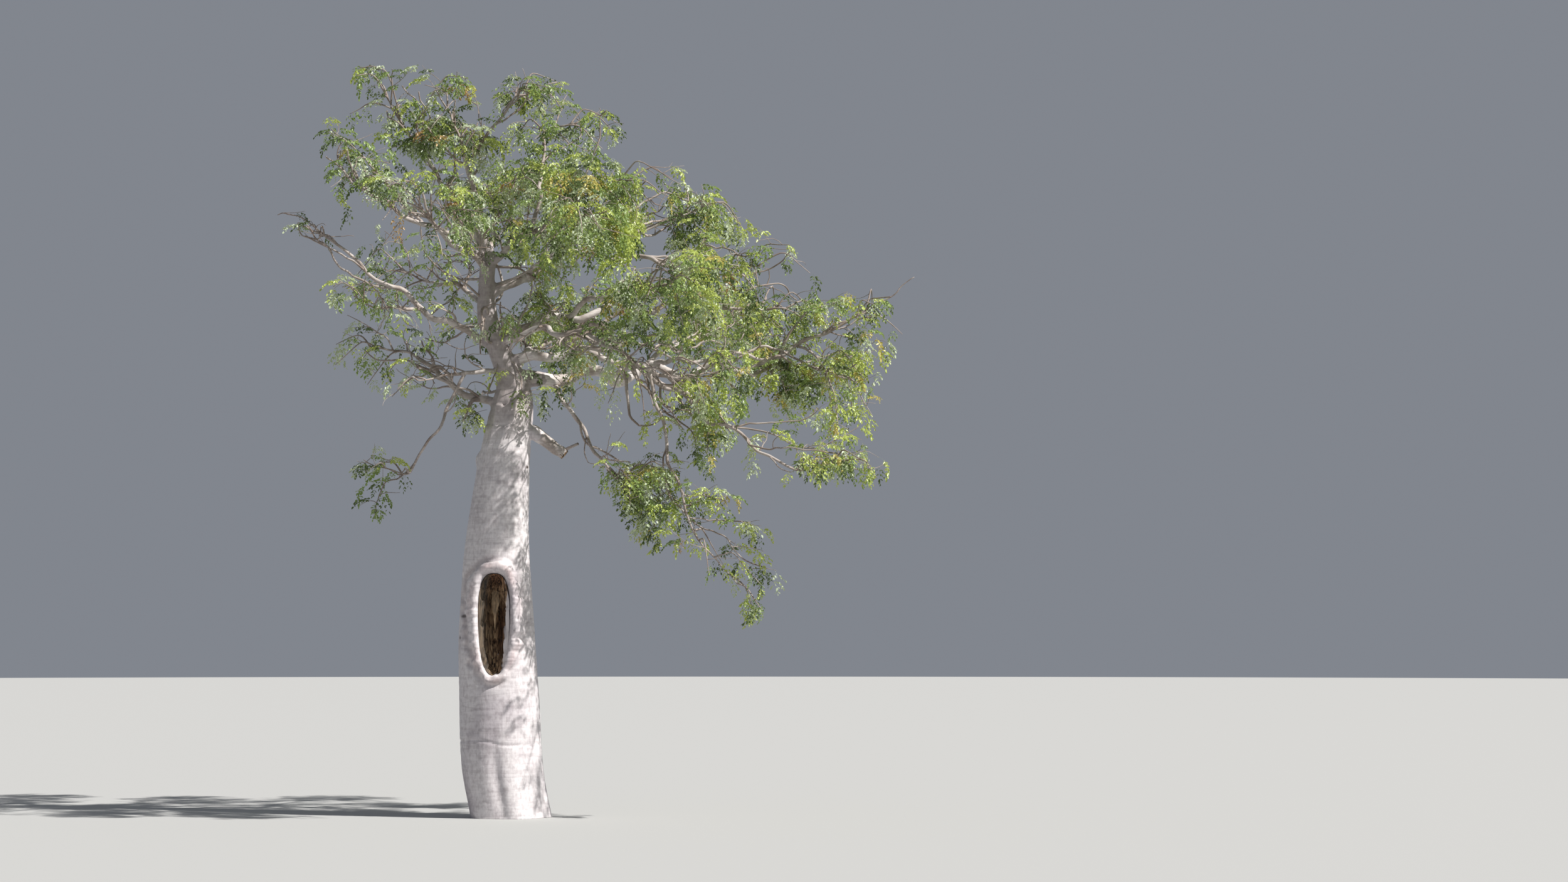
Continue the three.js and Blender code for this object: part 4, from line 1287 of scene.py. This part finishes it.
def add_twig(heap, points, butt, tip, pieces=2):
    """Adds a smooth tapering twig along a row of points and gives its line."""
    path = smoothed(points, pieces)
    radii = np.linspace(butt, tip, len(path))
    heap.add(*tube(path, radii, 7 if butt > 0.01 else 5 if butt > 0.004 else 4, 0.0, 1.0))
    return path


def side_shoots(path, count, length, first, index, random):
    """Thin shoots left and right of a twig, each leafy from near its foot."""
    for k in range(count):
        share = dealt(first, SHOOTS_LAST, k, count, random)
        at = path[int(share * (len(path) - 1))]
        ahead = unit(path[-1] - path[0])
        level = unit(np.cross(ahead, [0, 0, 1.0]) + 1e-6) * (1 if k % 2 else -1)
        way = turned(level, ahead, (random() - 0.5) * 1.4) + ahead * (0.3 + 0.6 * random())
        way[2] += SHOOT_LIFT
        reach = length * (SHOOT_SIZES[0] + SHOOT_SIZES[1] * random())
        points = walk(at, unit(way), reach, 5, DROOP, WOBBLE, random)
        if random() > cover(points[-1]) + BARE_SHARE:
            continue
        line = add_twig(twigs, points, SHOOT_BUTT, SHOOT_TIP, 1)
        shoots.append((line, index, 0.5))


for index, stem in enumerate(stems):
    fullness = FOLIAGE[index][-1]
    random = seeded(FIRST_SEED * 100 + index)
    finer = seeded(FIRST_SEED * 7919 * (index + 1))
    stem_line = np.array([stem.place(t) for t in np.linspace(0, 1, 9)])
    stem_line[1:-1] += STEM_CROOK * crooks(stem_line[1:-1], 9)
    stem_line = add_twig(twigs, stem_line, stem.butt, STEM_TIP)
    shoots.append((stem_line, index, 0.6))
    count = round(stem.spread / TWIG_SPREAD)
    for i in range(count):
        at = TWIG_FIRST + (1 - TWIG_FIRST) * i / (count - 1)
        ahead = stem.ahead(at)
        level = unit(np.array([-ahead[1], ahead[0], 0.0]))
        out = turned(level, ahead, i * GOLDEN_ANGLE + random() * TWIG_ROLL)
        way = out * (TWIG_OUT - at) + ahead * TWIG_FORWARD
        way[2] += TWIG_LIFT
        way = unit(way)
        size = stem.spread * (TWIG_SHORTEST + (TWIG_LONGEST - TWIG_SHORTEST) * random())
        start = stem.chord(at)
        tip = start + way * size
        hang = way + np.array([random() - 0.5, random() - 0.5, 0.0]) * SPRAY_SCATTER
        hang[2] -= SPRAY_HANG[0] + (SPRAY_HANG[1] - SPRAY_HANG[0]) * random()
        hang = unit(hang)
        roll = (random() - 0.5) * 2 * SPRAY_ROLL
        across = turned(unit(np.array([hang[1], -hang[0], 0.0])), hang, roll)
        root = tip - hang * SPRAY_SUNK
        for length in SPRAY_LENGTHS:
            corners = [
                root + hang * along * length + across * aside * length * SPRAY_WIDTH / 2
                for along, aside in SPRAY_OUTLINE
            ]
            if in_space(tip, index) and all(in_space(corner, index) for corner in corners):
                middle = start + way * size * 0.55 + np.array([0, 0, TWIG_SAG])
                low = tip + hang * (length - SPRAY_SUNK) * 0.4
                points = np.array([start, middle, tip, low, root + hang * length * HANG_SHARE])
                points[1:-1] += TWIG_CROOK * crooks(points[1:-1], 14)
                if finer() > cover(points[-1]) + 2 * BARE_SHARE:
                    break
                line = add_twig(twigs, points, TWIG_BUTT, TWIG_TIP, 3)
                shoots.append((line, index, 0.5))
                number = max(1, round(SHOOTS_PER_TWIG * fullness))
                side_shoots(line, number, length * 0.5, 0.3, index, finer)
                break

twig_skin = twigs.made("twigs")
twig_skin.data.shade_smooth()
twig_skin.data.materials.append(wood)
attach(twig_skin, "root")

# The forks and side branches. Sinuous forks leave each bough and end inside its own mass, so that the
# crown shows bare crooked wood within and leaves at its rim, and shorter crooked branches stand all
# along the boughs and the trunk's top. One that would end outside every mass's reach is left out.
FORKS = 4
FORK_FROM = 0.3
FORK_GIRTH = 0.62
FORK_REACH = 0.75
FORK_TIP = 0.005
WINDING_STEP = 0.05
WINDING = 0.95
BRANCH_SPACING = 0.24
BRANCH_FROM = 0.2
BRANCH_WOBBLE = 0.75
BRANCH_RISE = 0.35
OFFSHOOTS = 3
TRUNK_BRANCHES = 18
TRUNK_BRANCHES_FROM = 3.3
TRUNK_BRANCHES_TO = 4.45
CENTRE_REACH = 0.75
CENTRE_FROM = 3.25
OFFSHOOT_TIP = 0.0018
OFFSHOOT_LEAST = 0.004
FORK_OFFSHOOTS = 4
FORK_OFFSHOOT_LENGTH = 0.26
spreads = np.array([stem.spread for stem in stems])
branches = Heap()


def in_crown(place):
    """Whether a place is in the reach of some mass, or close round the trunk's top."""
    centre = trunk_point(min(place[2], TRUNK[-1][0]))
    if place[2] > CENTRE_FROM and np.linalg.norm(place - centre) < CENTRE_REACH:
        return True
    return bool((distances(place) < spreads * 0.9).any())


def offshoots(line, butt, length, first, count, random):
    """Thin branches all round a thicker one, leafy at their ends."""
    for k in range(count):
        share = dealt(first, SHOOTS_LAST, k, count, random)
        i = min(int(share * (len(line) - 1)), len(line) - 2)
        ahead = unit(line[i + 1] - line[i])
        level = unit(np.array([-ahead[1], ahead[0], 0.0]) + 1e-6)
        aside = turned(level, ahead, k * GOLDEN_ANGLE + random()) + ahead * 0.6
        aside[2] += SHOOT_LIFT
        reach = length * (SHOOT_SIZES[0] + SHOOT_SIZES[1] * random())
        points = walk(line[i], unit(aside), reach, 7, DROOP, BRANCH_WOBBLE, random)
        if in_crown(points[-1]) and random() < cover(points[-1]) + BARE_SHARE:
            girth = max(0.5 * butt * (1 - 0.5 * share), OFFSHOOT_LEAST)
            shoots.append((add_twig(branches, points, girth, OFFSHOOT_TIP), None, 0.5))


def winding(start, way, goal, random):
    """A crooked line that sets out one way and winds to its goal."""
    count = max(6, round(np.linalg.norm(goal - start) / WINDING_STEP))
    points = [start]
    turn = np.zeros(3)
    for i in range(count):
        left = goal - points[-1]
        share = (i + 1) / count
        turn = 0.55 * turn + WINDING * jitter(random)
        way = unit(way * (1 - share) + unit(left) * (0.3 + share) + turn)
        points.append(points[-1] + way * np.linalg.norm(left) / (count - i))
    return np.array(points)


def crooked_branch(start, way, length, butt, random):
    """A side branch with its offshoots, where its end lies in the crown."""
    points = walk(start, unit(way), length, 9, DROOP * 0.5, BRANCH_WOBBLE, random)
    if in_crown(points[-1]) and cover(points[-1]) > 0:
        line = add_twig(branches, points, butt, 0.4 * butt)
        shoots.append((line, None, 0.8))
        offshoots(line, butt, length * 0.5, 0.3, OFFSHOOTS, random)


for number, (name, carrier, *_) in enumerate(BOUGHS[:-1]):
    limb = limbs[name]
    random = seeded(FIRST_SEED * 6007 * (number + 1))
    stem = stems[[row[0] for row in FOLIAGE].index(name)]
    count = FORKS if limb.butt > 0.0225 else FORKS // 2
    for k in range(count):
        share = dealt(FORK_FROM, SHOOTS_LAST, k, count, random)
        start = limb.on_path(share)
        turn = k * GOLDEN_ANGLE * 2 + random()
        out = np.array([math.cos(turn), math.sin(turn), 0.5 * random()])
        middle = stem.place(0.2 + 0.8 * random())
        goal = middle + unit(out) * stem.spread * FORK_REACH * (0.55 + 0.45 * random())
        ahead = unit(limb.on_path(min(share + 0.03, 1)) - limb.on_path(share - 0.03))
        butt = max(FORK_GIRTH * limb.radius(share), 0.008)
        if ahead.dot(unit(goal - start)) < -0.2 or random() > cover(goal) + BARE_SHARE + 0.1:
            continue
        line = add_twig(branches, winding(start, ahead, goal, random), butt, FORK_TIP)
        shoots.append((line, None, 0.75))
        offshoots(line, butt, FORK_OFFSHOOT_LENGTH, 0.35, FORK_OFFSHOOTS, random)
    count = max(2, round(limb.length * (1 - BRANCH_FROM) / BRANCH_SPACING))
    for k in range(count):
        share = dealt(BRANCH_FROM, 0.97, k, count, random)
        ahead = unit(limb.on_path(min(share + 0.03, 1)) - limb.on_path(share - 0.03))
        level = unit(np.array([-ahead[1], ahead[0], 0.0]))
        way = turned(level, ahead, k * GOLDEN_ANGLE + random()) + ahead * 0.7
        way[2] += BRANCH_RISE
        length = (0.22 + 0.33 * random()) * (1.15 - 0.4 * share)
        crooked_branch(limb.on_path(share), way, length, max(0.4 * limb.radius(share), 0.006), random)
random = seeded(FIRST_SEED * 700)
for k in range(TRUNK_BRANCHES):
    height = dealt(TRUNK_BRANCHES_FROM, TRUNK_BRANCHES_TO, k, TRUNK_BRANCHES, random)
    heading = k * GOLDEN_ANGLE
    way = np.array([math.cos(heading), math.sin(heading), BRANCH_RISE + 0.3 * random()])
    crooked_branch(trunk_point(height), way, 0.5 + 0.4 * random(), 0.01 + 0.006 * random(), random)

# The branches that show. Where leaves are few, single crooked branches are seen by themselves, so these
# follow lines of their own: a bare web under the right side, ends that stand out of the crown's edge,
# a sprig before the neck. Places are given as they look from the front, on the trunk's own plane.
SHOWN_GIRTH = 0.75
SHOWN_TIP = 0.0035
SHOWN_CROOK = 0.012
SHOWN_TRUNK_BUTT = 0.009
SHOWN_SHOOTS = 10
SHOWN = [
    # carrier, where it starts there, its end's depth, first leafy share, places across and up it passes
    ("bough_right_mid", 0.95, -0.45, 0.9, [
        (1.19, 3.44), (1.185, 3.335), (1.26, 3.26), (1.385, 3.225), (1.525, 3.24)
    ]),
    ("bough_right_mid", 0.76, -0.5, 0.9, [
        (0.965, 3.55), (1.025, 3.45), (1.16, 3.335), (1.29, 3.2), (1.375, 3.075)
    ]),
    ("bough_right_mid", 0.72, -0.35, 0.95, [
        (0.91, 3.5), (0.925, 3.335), (0.96, 3.165), (1.09, 3.105), (1.225, 3.185)
    ]),
    ("bough_right_mid", 0.85, -0.4, 0.9, [
        (1.075, 3.5), (1.105, 3.375), (1.215, 3.225), (1.335, 3.15), (1.445, 3.05), (1.475, 2.925)
    ]),
    ("bough_right_low", 0.5, -0.2, 0.6, [
        (1.3, 3.45), (1.35, 3.3), (1.45, 3.175), (1.55, 3.1), (1.625, 3.05)
    ]),
    ("bough_right_low", 0.62, -0.4, 0.5, [(1.475, 3.45), (1.6, 3.3), (1.675, 3.175), (1.75, 3.05)]),
    ("bough_hanging_low", 0.97, -0.5, 0.6, [(1.49, 2.365), (1.69, 2.35), (1.875, 2.335), (1.955, 2.27)]),
    ("bough_hanging_centre", 0.9, -0.35, 0.5, [
        (0.875, 2.69), (1.025, 2.625), (1.16, 2.535), (1.225, 2.425)
    ]),
    ("bough_hanging_centre", 0.95, -0.3, 0.4, [(0.875, 2.64), (0.95, 2.525), (1.035, 2.4), (1.085, 2.275)]),
    ("bough_right_bottom", 0.6, -0.5, 0.7, [
        (1.725, 3.1), (1.95, 3.125), (2.11, 3.135), (2.36, 3.165), (2.44, 3.25)
    ]),
    ("bough_right_bottom", 0.98, -0.7, 0.8, [(2.285, 2.76), (2.46, 2.795), (2.575, 2.85)]),
    ("bough_right_tip", 0.98, 0.05, 1, [
        (2.8, 4.015), (2.925, 4.09), (3.06, 4.15), (3.125, 4.24), (3.215, 4.295)
    ]),
    ("bough_right_tip", 0.35, 0, 0.6, [
        (2.2, 3.81), (2.29, 3.94), (2.375, 4.025), (2.515, 4.065), (2.65, 4.11)
    ]),
    ("bough_high_left", 0.95, -0.35, 0.7, [(-1.275, 5.05), (-1.375, 5.19), (-1.41, 5.3), (-1.35, 5.39)]),
    ("bough_high_left", 0.55, -0.3, 0.6, [
        (-0.825, 4.85), (-0.95, 5), (-1.1, 5.16), (-1.275, 5.34), (-1.45, 5.485)
    ]),
    ("bough_top_left", 0.97, 0.15, 0.6, [
        (-0.91, 5.61), (-0.94, 5.75), (-1.01, 5.94), (-1.125, 5.99), (-1.225, 5.985)
    ]),
    ("bough_top_left", 0.75, 0, 0.6, [
        (-0.715, 5.55), (-0.675, 5.7), (-0.615, 5.81), (-0.525, 5.915), (-0.365, 5.895)
    ]),
    ("bough_left_long", 0.96, -0.2, 0.85, [
        (-1.55, 4.675), (-1.685, 4.77), (-1.815, 4.81), (-1.875, 4.795)
    ]),
    ("bough_left_lower", 0.95, -0.5, 0.7, [(-1.15, 4.11), (-1.265, 4.2), (-1.35, 4.25), (-1.425, 4.22)]),
    ("bough_left_hanging", 0.97, -0.35, 0.7, [
        (-0.875, 2.715), (-0.975, 2.76), (-1.075, 2.78), (-1.175, 2.835)
    ]),
    ("bough_left_hanging", 0.9, -0.4, 0.5, [(-0.875, 2.7), (-1, 2.65), (-1.06, 2.525), (-1.085, 2.39)]),
    ("bough_left_low", 0.35, -0.1, 0.5, [(-0.315, 3.3), (-0.35, 3.225), (-0.385, 3.14)]),
    ("bough_left_low", 0.6, -0.1, 0.9, [
        (-0.465, 3.44), (-0.54, 3.55), (-0.625, 3.575), (-0.715, 3.5), (-0.8, 3.51)
    ]),
    ("bough_right_tip", 0.5, -0.1, 0.4, [(2.4, 3.69), (2.515, 3.525), (2.585, 3.3), (2.605, 3.075)]),
    ("bough_right_low", 0.9, 0.1, 0.3, [(2.065, 3.54), (2.145, 3.47), (2.2, 3.36)]),
    ("bough_right_low", 0.55, -0.5, 0.4, [
        (1.35, 3.425), (1.475, 3.275), (1.55, 3.125), (1.575, 3), (1.565, 2.91)
    ]),
    ("bough_hanging_centre", 0.8, -0.4, 0.4, [(0.85, 2.7), (1, 2.55), (1.125, 2.375), (1.165, 2.225)]),
    ("bough_hanging_low", 0.8, -0.5, 0.4, [(1.4, 2.55), (1.525, 2.55), (1.65, 2.525), (1.725, 2.5)]),
    ("trunk", 3.78, -0.2, 1, [
        (-0.065, 3.71), (-0.11, 3.615), (-0.125, 3.535), (-0.185, 3.39), (-0.24, 3.36)
    ]),
    ("trunk", 3.62, -0.24, 0.6, [(-0.045, 3.615), (0.025, 3.6), (0.07, 3.5), (0.085, 3.4), (0.105, 3.3)]),
    ("bough_high_right", 0.9, -0.35, 0.7, [
        (0.575, 5.075), (0.635, 5.25), (0.7, 5.425), (0.7, 5.575), (0.755, 5.64)
    ]),
]


random = seeded(FIRST_SEED * 900)
for carrier, at, depth, first, spots in SHOWN:
    start = trunk_point(at) if carrier == "trunk" else limbs[carrier].on_path(at)
    butt = SHOWN_TRUNK_BUTT if carrier == "trunk" else SHOWN_GIRTH * limbs[carrier].radius(at)
    points = [start]
    for i, (across, up) in enumerate(spots):
        share = (i + 1) / len(spots)
        points.append(behind(across, up, start[1] + (depth - start[1]) * share))
    points = smoothed(np.array(points), 4)
    points[1:-1] += SHOWN_CROOK * crooks(points[1:-1], 16)
    line = add_twig(branches, points, butt, SHOWN_TIP, 1)
    shoots.append((line, "shown", first))
    count = round(SHOWN_SHOOTS * (1 - first))
    for k in range(count):
        share = dealt(first, 1, k, count, random)
        spot = line[int(share * (len(line) - 1))]
        way = np.array([random() - 0.5, random() - 0.5, 0.2])
        points = walk(spot, unit(way), 0.12 + 0.14 * random(), 5, DROOP, WOBBLE, random)
        if cover(points[-1]) < 0:
            continue
        shoots.append((add_twig(branches, points, SHOOT_BUTT, SHOOT_TIP, 1), "shown", 0.3))

branch_skin = branches.made("branches")
branch_skin.data.shade_smooth()
branch_skin.data.materials.append(wood)
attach(branch_skin, "root")

# The leaves. Each is twice divided: a hanging stalk with pairs of side stalks, which bear small oval
# leaflets in pairs and one at their end. A dozen leaves are shaped once with the weight of their
# leaflets in them, turned and scaled along every shoot, and joined into one mesh for each tint.
LEAF_LENGTH = 0.15
LEAF_PATTERNS = 12
LEAF_SEED = 77
STEEPEST = 35
LOWEST = -65
LEAF_SPACING = 0.058
LEAF_ASIDE = (0.4, 1.3)
LEAF_TILT = 0.7
LEAF_SIZES = (0.75, 1.2)
OFF_TRUNK = 0.05
PAST_BOX = 0.06
OUTERMOST = 0.97
SIDE_STALKS = (0.36, 0.7)
SIDE_STALK_LENGTH = 0.075
LEAFLET_LENGTH = 0.026
LEAFLET_HALF_WIDTH = 0.28
LEAFLETS_LOST = 0.14
LEAFLET_SCATTER = 0.9
LEAFLET_FOLD = 0.1
LEAFLET = np.array([
    (0, 0, 0),
    (0.3, LEAFLET_HALF_WIDTH * 0.95, LEAFLET_FOLD),
    (0.74, LEAFLET_HALF_WIDTH * 0.85, LEAFLET_FOLD),
    (1, 0, -0.08),
    (0.74, -LEAFLET_HALF_WIDTH * 0.85, LEAFLET_FOLD),
    (0.3, -LEAFLET_HALF_WIDTH * 0.95, LEAFLET_FOLD),
])
LEAFLET_FACES = np.array([(0, 2, 1), (0, 3, 2), (0, 4, 3), (0, 5, 4)])
STALK_HALF_WIDTH = 0.0012
SIDE_STALK_HALF_WIDTH = 0.0008
STALK_STEPS = 5
DOWN = np.array([0.0, 0.0, -1.0])


def leaflet(heap, base, way, random):
    """One oval leaflet folded along its middle, turned a little by chance; a few have been lost."""
    if random() < LEAFLETS_LOST:
        return
    way = unit(unit(way) + LEAFLET_SCATTER * jitter(random))
    face = np.array([random() - 0.5, random() - 0.5, 0.35 + 0.5 * random()])
    face = unit(face - way * face.dot(way))
    frame_axes = np.array([way, np.cross(face, way), face])
    size = LEAFLET_LENGTH * (0.8 + 0.4 * random())
    heap.add(base + LEAFLET * size @ frame_axes, LEAFLET_FACES)


def stalk(heap, start, end, half_width):
    """A stalk as thin as a hair, a single narrow face."""
    side = unit(np.cross(end - start, [0.2, 0.1, 1.0])) * half_width
    heap.add(np.array([start - side, start + side, end]), np.array([(0, 1, 2)]))


def side_stalk(heap, base, way, length, random):
    """A side stalk with three pairs of leaflets and one at its end."""
    way = unit(way)
    end = base + way * length + DOWN * length * 0.15
    stalk(heap, base, end, SIDE_STALK_HALF_WIDTH)
    aside = unit(np.cross(way, [0, 0, 1.0]) + 1e-6)
    for share in (0.3, 0.54, 0.78):
        for hand in (1, -1):
            outward = way * 0.6 + aside * hand + DOWN * (0.3 + 0.5 * random())
            leaflet(heap, base + (end - base) * share, outward, random)
    leaflet(heap, end, way + DOWN * 0.4, random)


def compound_leaf(slope, random):
    """A whole leaf that sets out along X at a slope and droops, and where its stalk ends."""
    heap = Heap()
    points = [np.zeros(3)]
    angle = slope
    for _ in range(STALK_STEPS):
        ahead = np.array([math.cos(angle), 0, math.sin(angle)])
        points.append(points[-1] + ahead * LEAF_LENGTH / STALK_STEPS)
        angle -= 0.28 + 0.1 * random()
    points = np.array(points)
    for a, b in zip(points, points[1:]):
        stalk(heap, a, b, STALK_HALF_WIDTH)
    for share in SIDE_STALKS:
        place = share * STALK_STEPS
        i = int(place)
        base = points[i] + (points[i + 1] - points[i]) * (place - i)
        ahead = unit(points[i + 1] - points[i])
        for hand in (1, -1):
            way = np.array([0, hand * 0.9, 0]) + ahead * 0.6 + DOWN * (0.25 + 0.45 * random())
            side_stalk(heap, base, way, SIDE_STALK_LENGTH * (1.15 - 0.4 * share), random)
    ahead = unit(points[-1] - points[-2]) + DOWN * 0.2
    side_stalk(heap, points[-1], ahead, SIDE_STALK_LENGTH * 0.7, random)
    return np.vstack(heap.vertices), np.vstack(heap.triangles), points[-1]


leaf_random = seeded(LEAF_SEED)
slopes = [STEEPEST - (STEEPEST - LOWEST) * k / (LEAF_PATTERNS - 1) for k in range(LEAF_PATTERNS)]
patterns = [compound_leaf(math.radians(slope), leaf_random) for slope in slopes]

LEAF_TINTS = [
    # name, colour, share of the leaves on the left of the crown and on its right
    ("mid_green", (0.235, 0.325, 0.11), 0.32, 0.27),
    ("deep_green", (0.105, 0.15, 0.055), 0.23, 0.15),
    ("fresh_green", (0.43, 0.51, 0.14), 0.12, 0.33),
    ("silver_green", (0.47, 0.545, 0.39), 0.3, 0.2),
    ("yellow", (0.5, 0.44, 0.14), 0.006, 0.04),
    ("dry_orange", (0.4, 0.26, 0.11), 0.004, 0.009),
]
TINT_LEFT = -1.0
TINT_RIGHT = 1.5
TINT_KEPT = 0.6
LEAF_ROUGHNESS = 0.34
LEAF_GLOSS = 0.55
LIT_THROUGH = (1.25, 1.2, 0.8)
TRANSLUCENT = 0.33
PIECE_LIMIT = 190000
leaves = {name: Heap() for name, *_ in LEAF_TINTS}


def tint_at(place, chance):
    """Picks a tint, with more fresh green and yellow the further right a leaf hangs."""
    side = held((place[0] - TINT_LEFT) / (TINT_RIGHT - TINT_LEFT))
    for name, _, left, right in LEAF_TINTS:
        chance -= left + (right - left) * side
        if chance < 0:
            return name
    return LEAF_TINTS[0][0]


box_low = np.array(cad_box[0]) - PAST_BOX
box_high = np.array(cad_box[1]) + PAST_BOX
random = seeded(5000)
for line, index, first in shoots:
    if first >= 1:
        continue
    length = np.linalg.norm(np.diff(line, axis=0), axis=1).sum()
    count = max(2, round(length * (1 - first) / LEAF_SPACING))
    if index != "shown":
        count = round(count * max(cover(line[-1]), 1))
    usual = tint_at(line[-1], random())
    for k in range(count):
        share = held(1 - (1 - first) * (k + 0.5 * random()) / max(count - 1, 1), first)
        spot = share * (len(line) - 1)
        i = min(int(spot), len(line) - 2)
        base = line[i] + (line[i + 1] - line[i]) * (spot - i)
        ahead = unit(line[i + 1] - line[i])
        aside = LEAF_ASIDE[0] + (LEAF_ASIDE[1] - LEAF_ASIDE[0]) * random()
        azimuth = math.atan2(ahead[1], ahead[0])
        if share <= OUTERMOST:
            azimuth += aside if k % 2 else -aside
        rise = held(ahead[2], -0.9, 0.5) + (random() - 0.5) * LEAF_TILT
        pattern = held(int((0.5 - rise) / 1.5 * LEAF_PATTERNS), 0, LEAF_PATTERNS - 1)
        vertices, triangles, end = patterns[pattern]
        cos, sin = math.cos(azimuth), math.sin(azimuth)
        spin = np.array([(cos, sin, 0), (-sin, cos, 0), (0, 0, 1)])
        scale = LEAF_SIZES[0] + (LEAF_SIZES[1] - LEAF_SIZES[0]) * random()
        chance = random()
        tint = usual if random() < TINT_KEPT else tint_at(base, chance)
        tip = base + end @ spin * scale
        amount = cover(tip)
        if amount < 0 or index != "shown" and (random() > amount or not in_crown(tip)):
            continue
        if out_of_trunk(tip) < OFF_TRUNK and tip[2] < TRUNK[-1][0]:
            continue
        if (tip < box_low).any() or (tip > box_high).any():
            continue
        leaves[tint].add(base + vertices @ spin * scale, triangles)


def leaf_material(name, color):
    """Waxy on both sides and lit through from behind, so a translucent share is mixed in."""
    material, nodes, links = new_material("leaf_" + name)
    shader = nodes["Principled BSDF"]
    shader.inputs["Base Color"].default_value = (*color, 1)
    shader.inputs["Roughness"].default_value = LEAF_ROUGHNESS
    shader.inputs["Specular IOR Level"].default_value = LEAF_GLOSS
    through = nodes.new("ShaderNodeBsdfTranslucent")
    lit = [part * more for part, more in zip(color, LIT_THROUGH)]
    through.inputs["Color"].default_value = (*lit, 1)
    blend = nodes.new("ShaderNodeMixShader")
    blend.inputs["Fac"].default_value = TRANSLUCENT
    links.new(shader.outputs[0], blend.inputs[1])
    links.new(through.outputs[0], blend.inputs[2])
    links.new(blend.outputs[0], nodes["Material Output"].inputs["Surface"])
    return material


foliage_nodes = [row[0].replace("bough", "foliage") for row in FOLIAGE]
for name, color, *_ in LEAF_TINTS:
    heap = leaves[name]
    material = leaf_material(name, color)
    parts = [Heap()]
    for vertices, triangles in zip(heap.vertices, heap.triangles):
        if sum(len(t) for t in parts[-1].triangles) + len(triangles) > PIECE_LIMIT:
            parts.append(Heap())
        parts[-1].add(vertices, triangles - triangles.min())
    for letter, part in zip("abcdef", parts):
        piece = part.made(f"leaves_{name}_{letter}")
        piece.data.materials.append(material)
        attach(piece, "root")
        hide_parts(*foliage_nodes)

# The studio: a wide pale floor, an even pale sky, a soft sun from the upper right in front, and the
# camera at the height of a person's eyes, far off with a long lens, as the tree was seen.
FLOOR_RADIUS = 80.0
FLOOR_COLOR = (0.4, 0.4, 0.395, 1)
SKY_COLOR = (0.82, 0.88, 1.0, 1)
SKY_STRENGTH = 0.27
SUN_COLOR = (1.0, 0.975, 0.93)
SUN_STRENGTH = 6.6
SUN_ANGLE = math.radians(0.8)
SUN_WAY = Vector((-0.91, 0.4, -1.03))
LOOK_HEIGHT = 2.985
LENS = 80.75

bpy.ops.object.select_all(action="DESELECT")
bpy.ops.mesh.primitive_circle_add(vertices=96, radius=FLOOR_RADIUS, fill_type="NGON")
floor = bpy.context.object
floor.name = "floor"
material, nodes, links = new_material("pale_floor")
nodes["Principled BSDF"].inputs["Base Color"].default_value = FLOOR_COLOR
nodes["Principled BSDF"].inputs["Roughness"].default_value = 0.9
floor.data.materials.append(material)

world = bpy.data.worlds.new("pale_sky")
world.use_nodes = True
world.node_tree.nodes["Background"].inputs["Color"].default_value = SKY_COLOR
world.node_tree.nodes["Background"].inputs["Strength"].default_value = SKY_STRENGTH
bpy.context.scene.world = world

sun_data = bpy.data.lights.new("sun", "SUN")
sun_data.energy = SUN_STRENGTH
sun_data.angle = SUN_ANGLE
sun_data.color = SUN_COLOR
sun = bpy.data.objects.new("sun", sun_data)
bpy.context.scene.collection.objects.link(sun)
sun.rotation_mode = "QUATERNION"
sun.rotation_quaternion = SUN_WAY.to_track_quat("-Z", "Y")

bpy.ops.object.camera_add(location=EYE)
camera = bpy.context.object
camera.rotation_mode = "QUATERNION"
camera.rotation_quaternion = Vector((0, -EYE[1], LOOK_HEIGHT - EYE[2])).to_track_quat("-Z", "Y")
camera.data.lens = LENS
camera.data.sensor_width = 36
camera.data.clip_end = 300
bpy.context.scene.camera = camera
bpy.context.scene.view_settings.view_transform = "Standard"
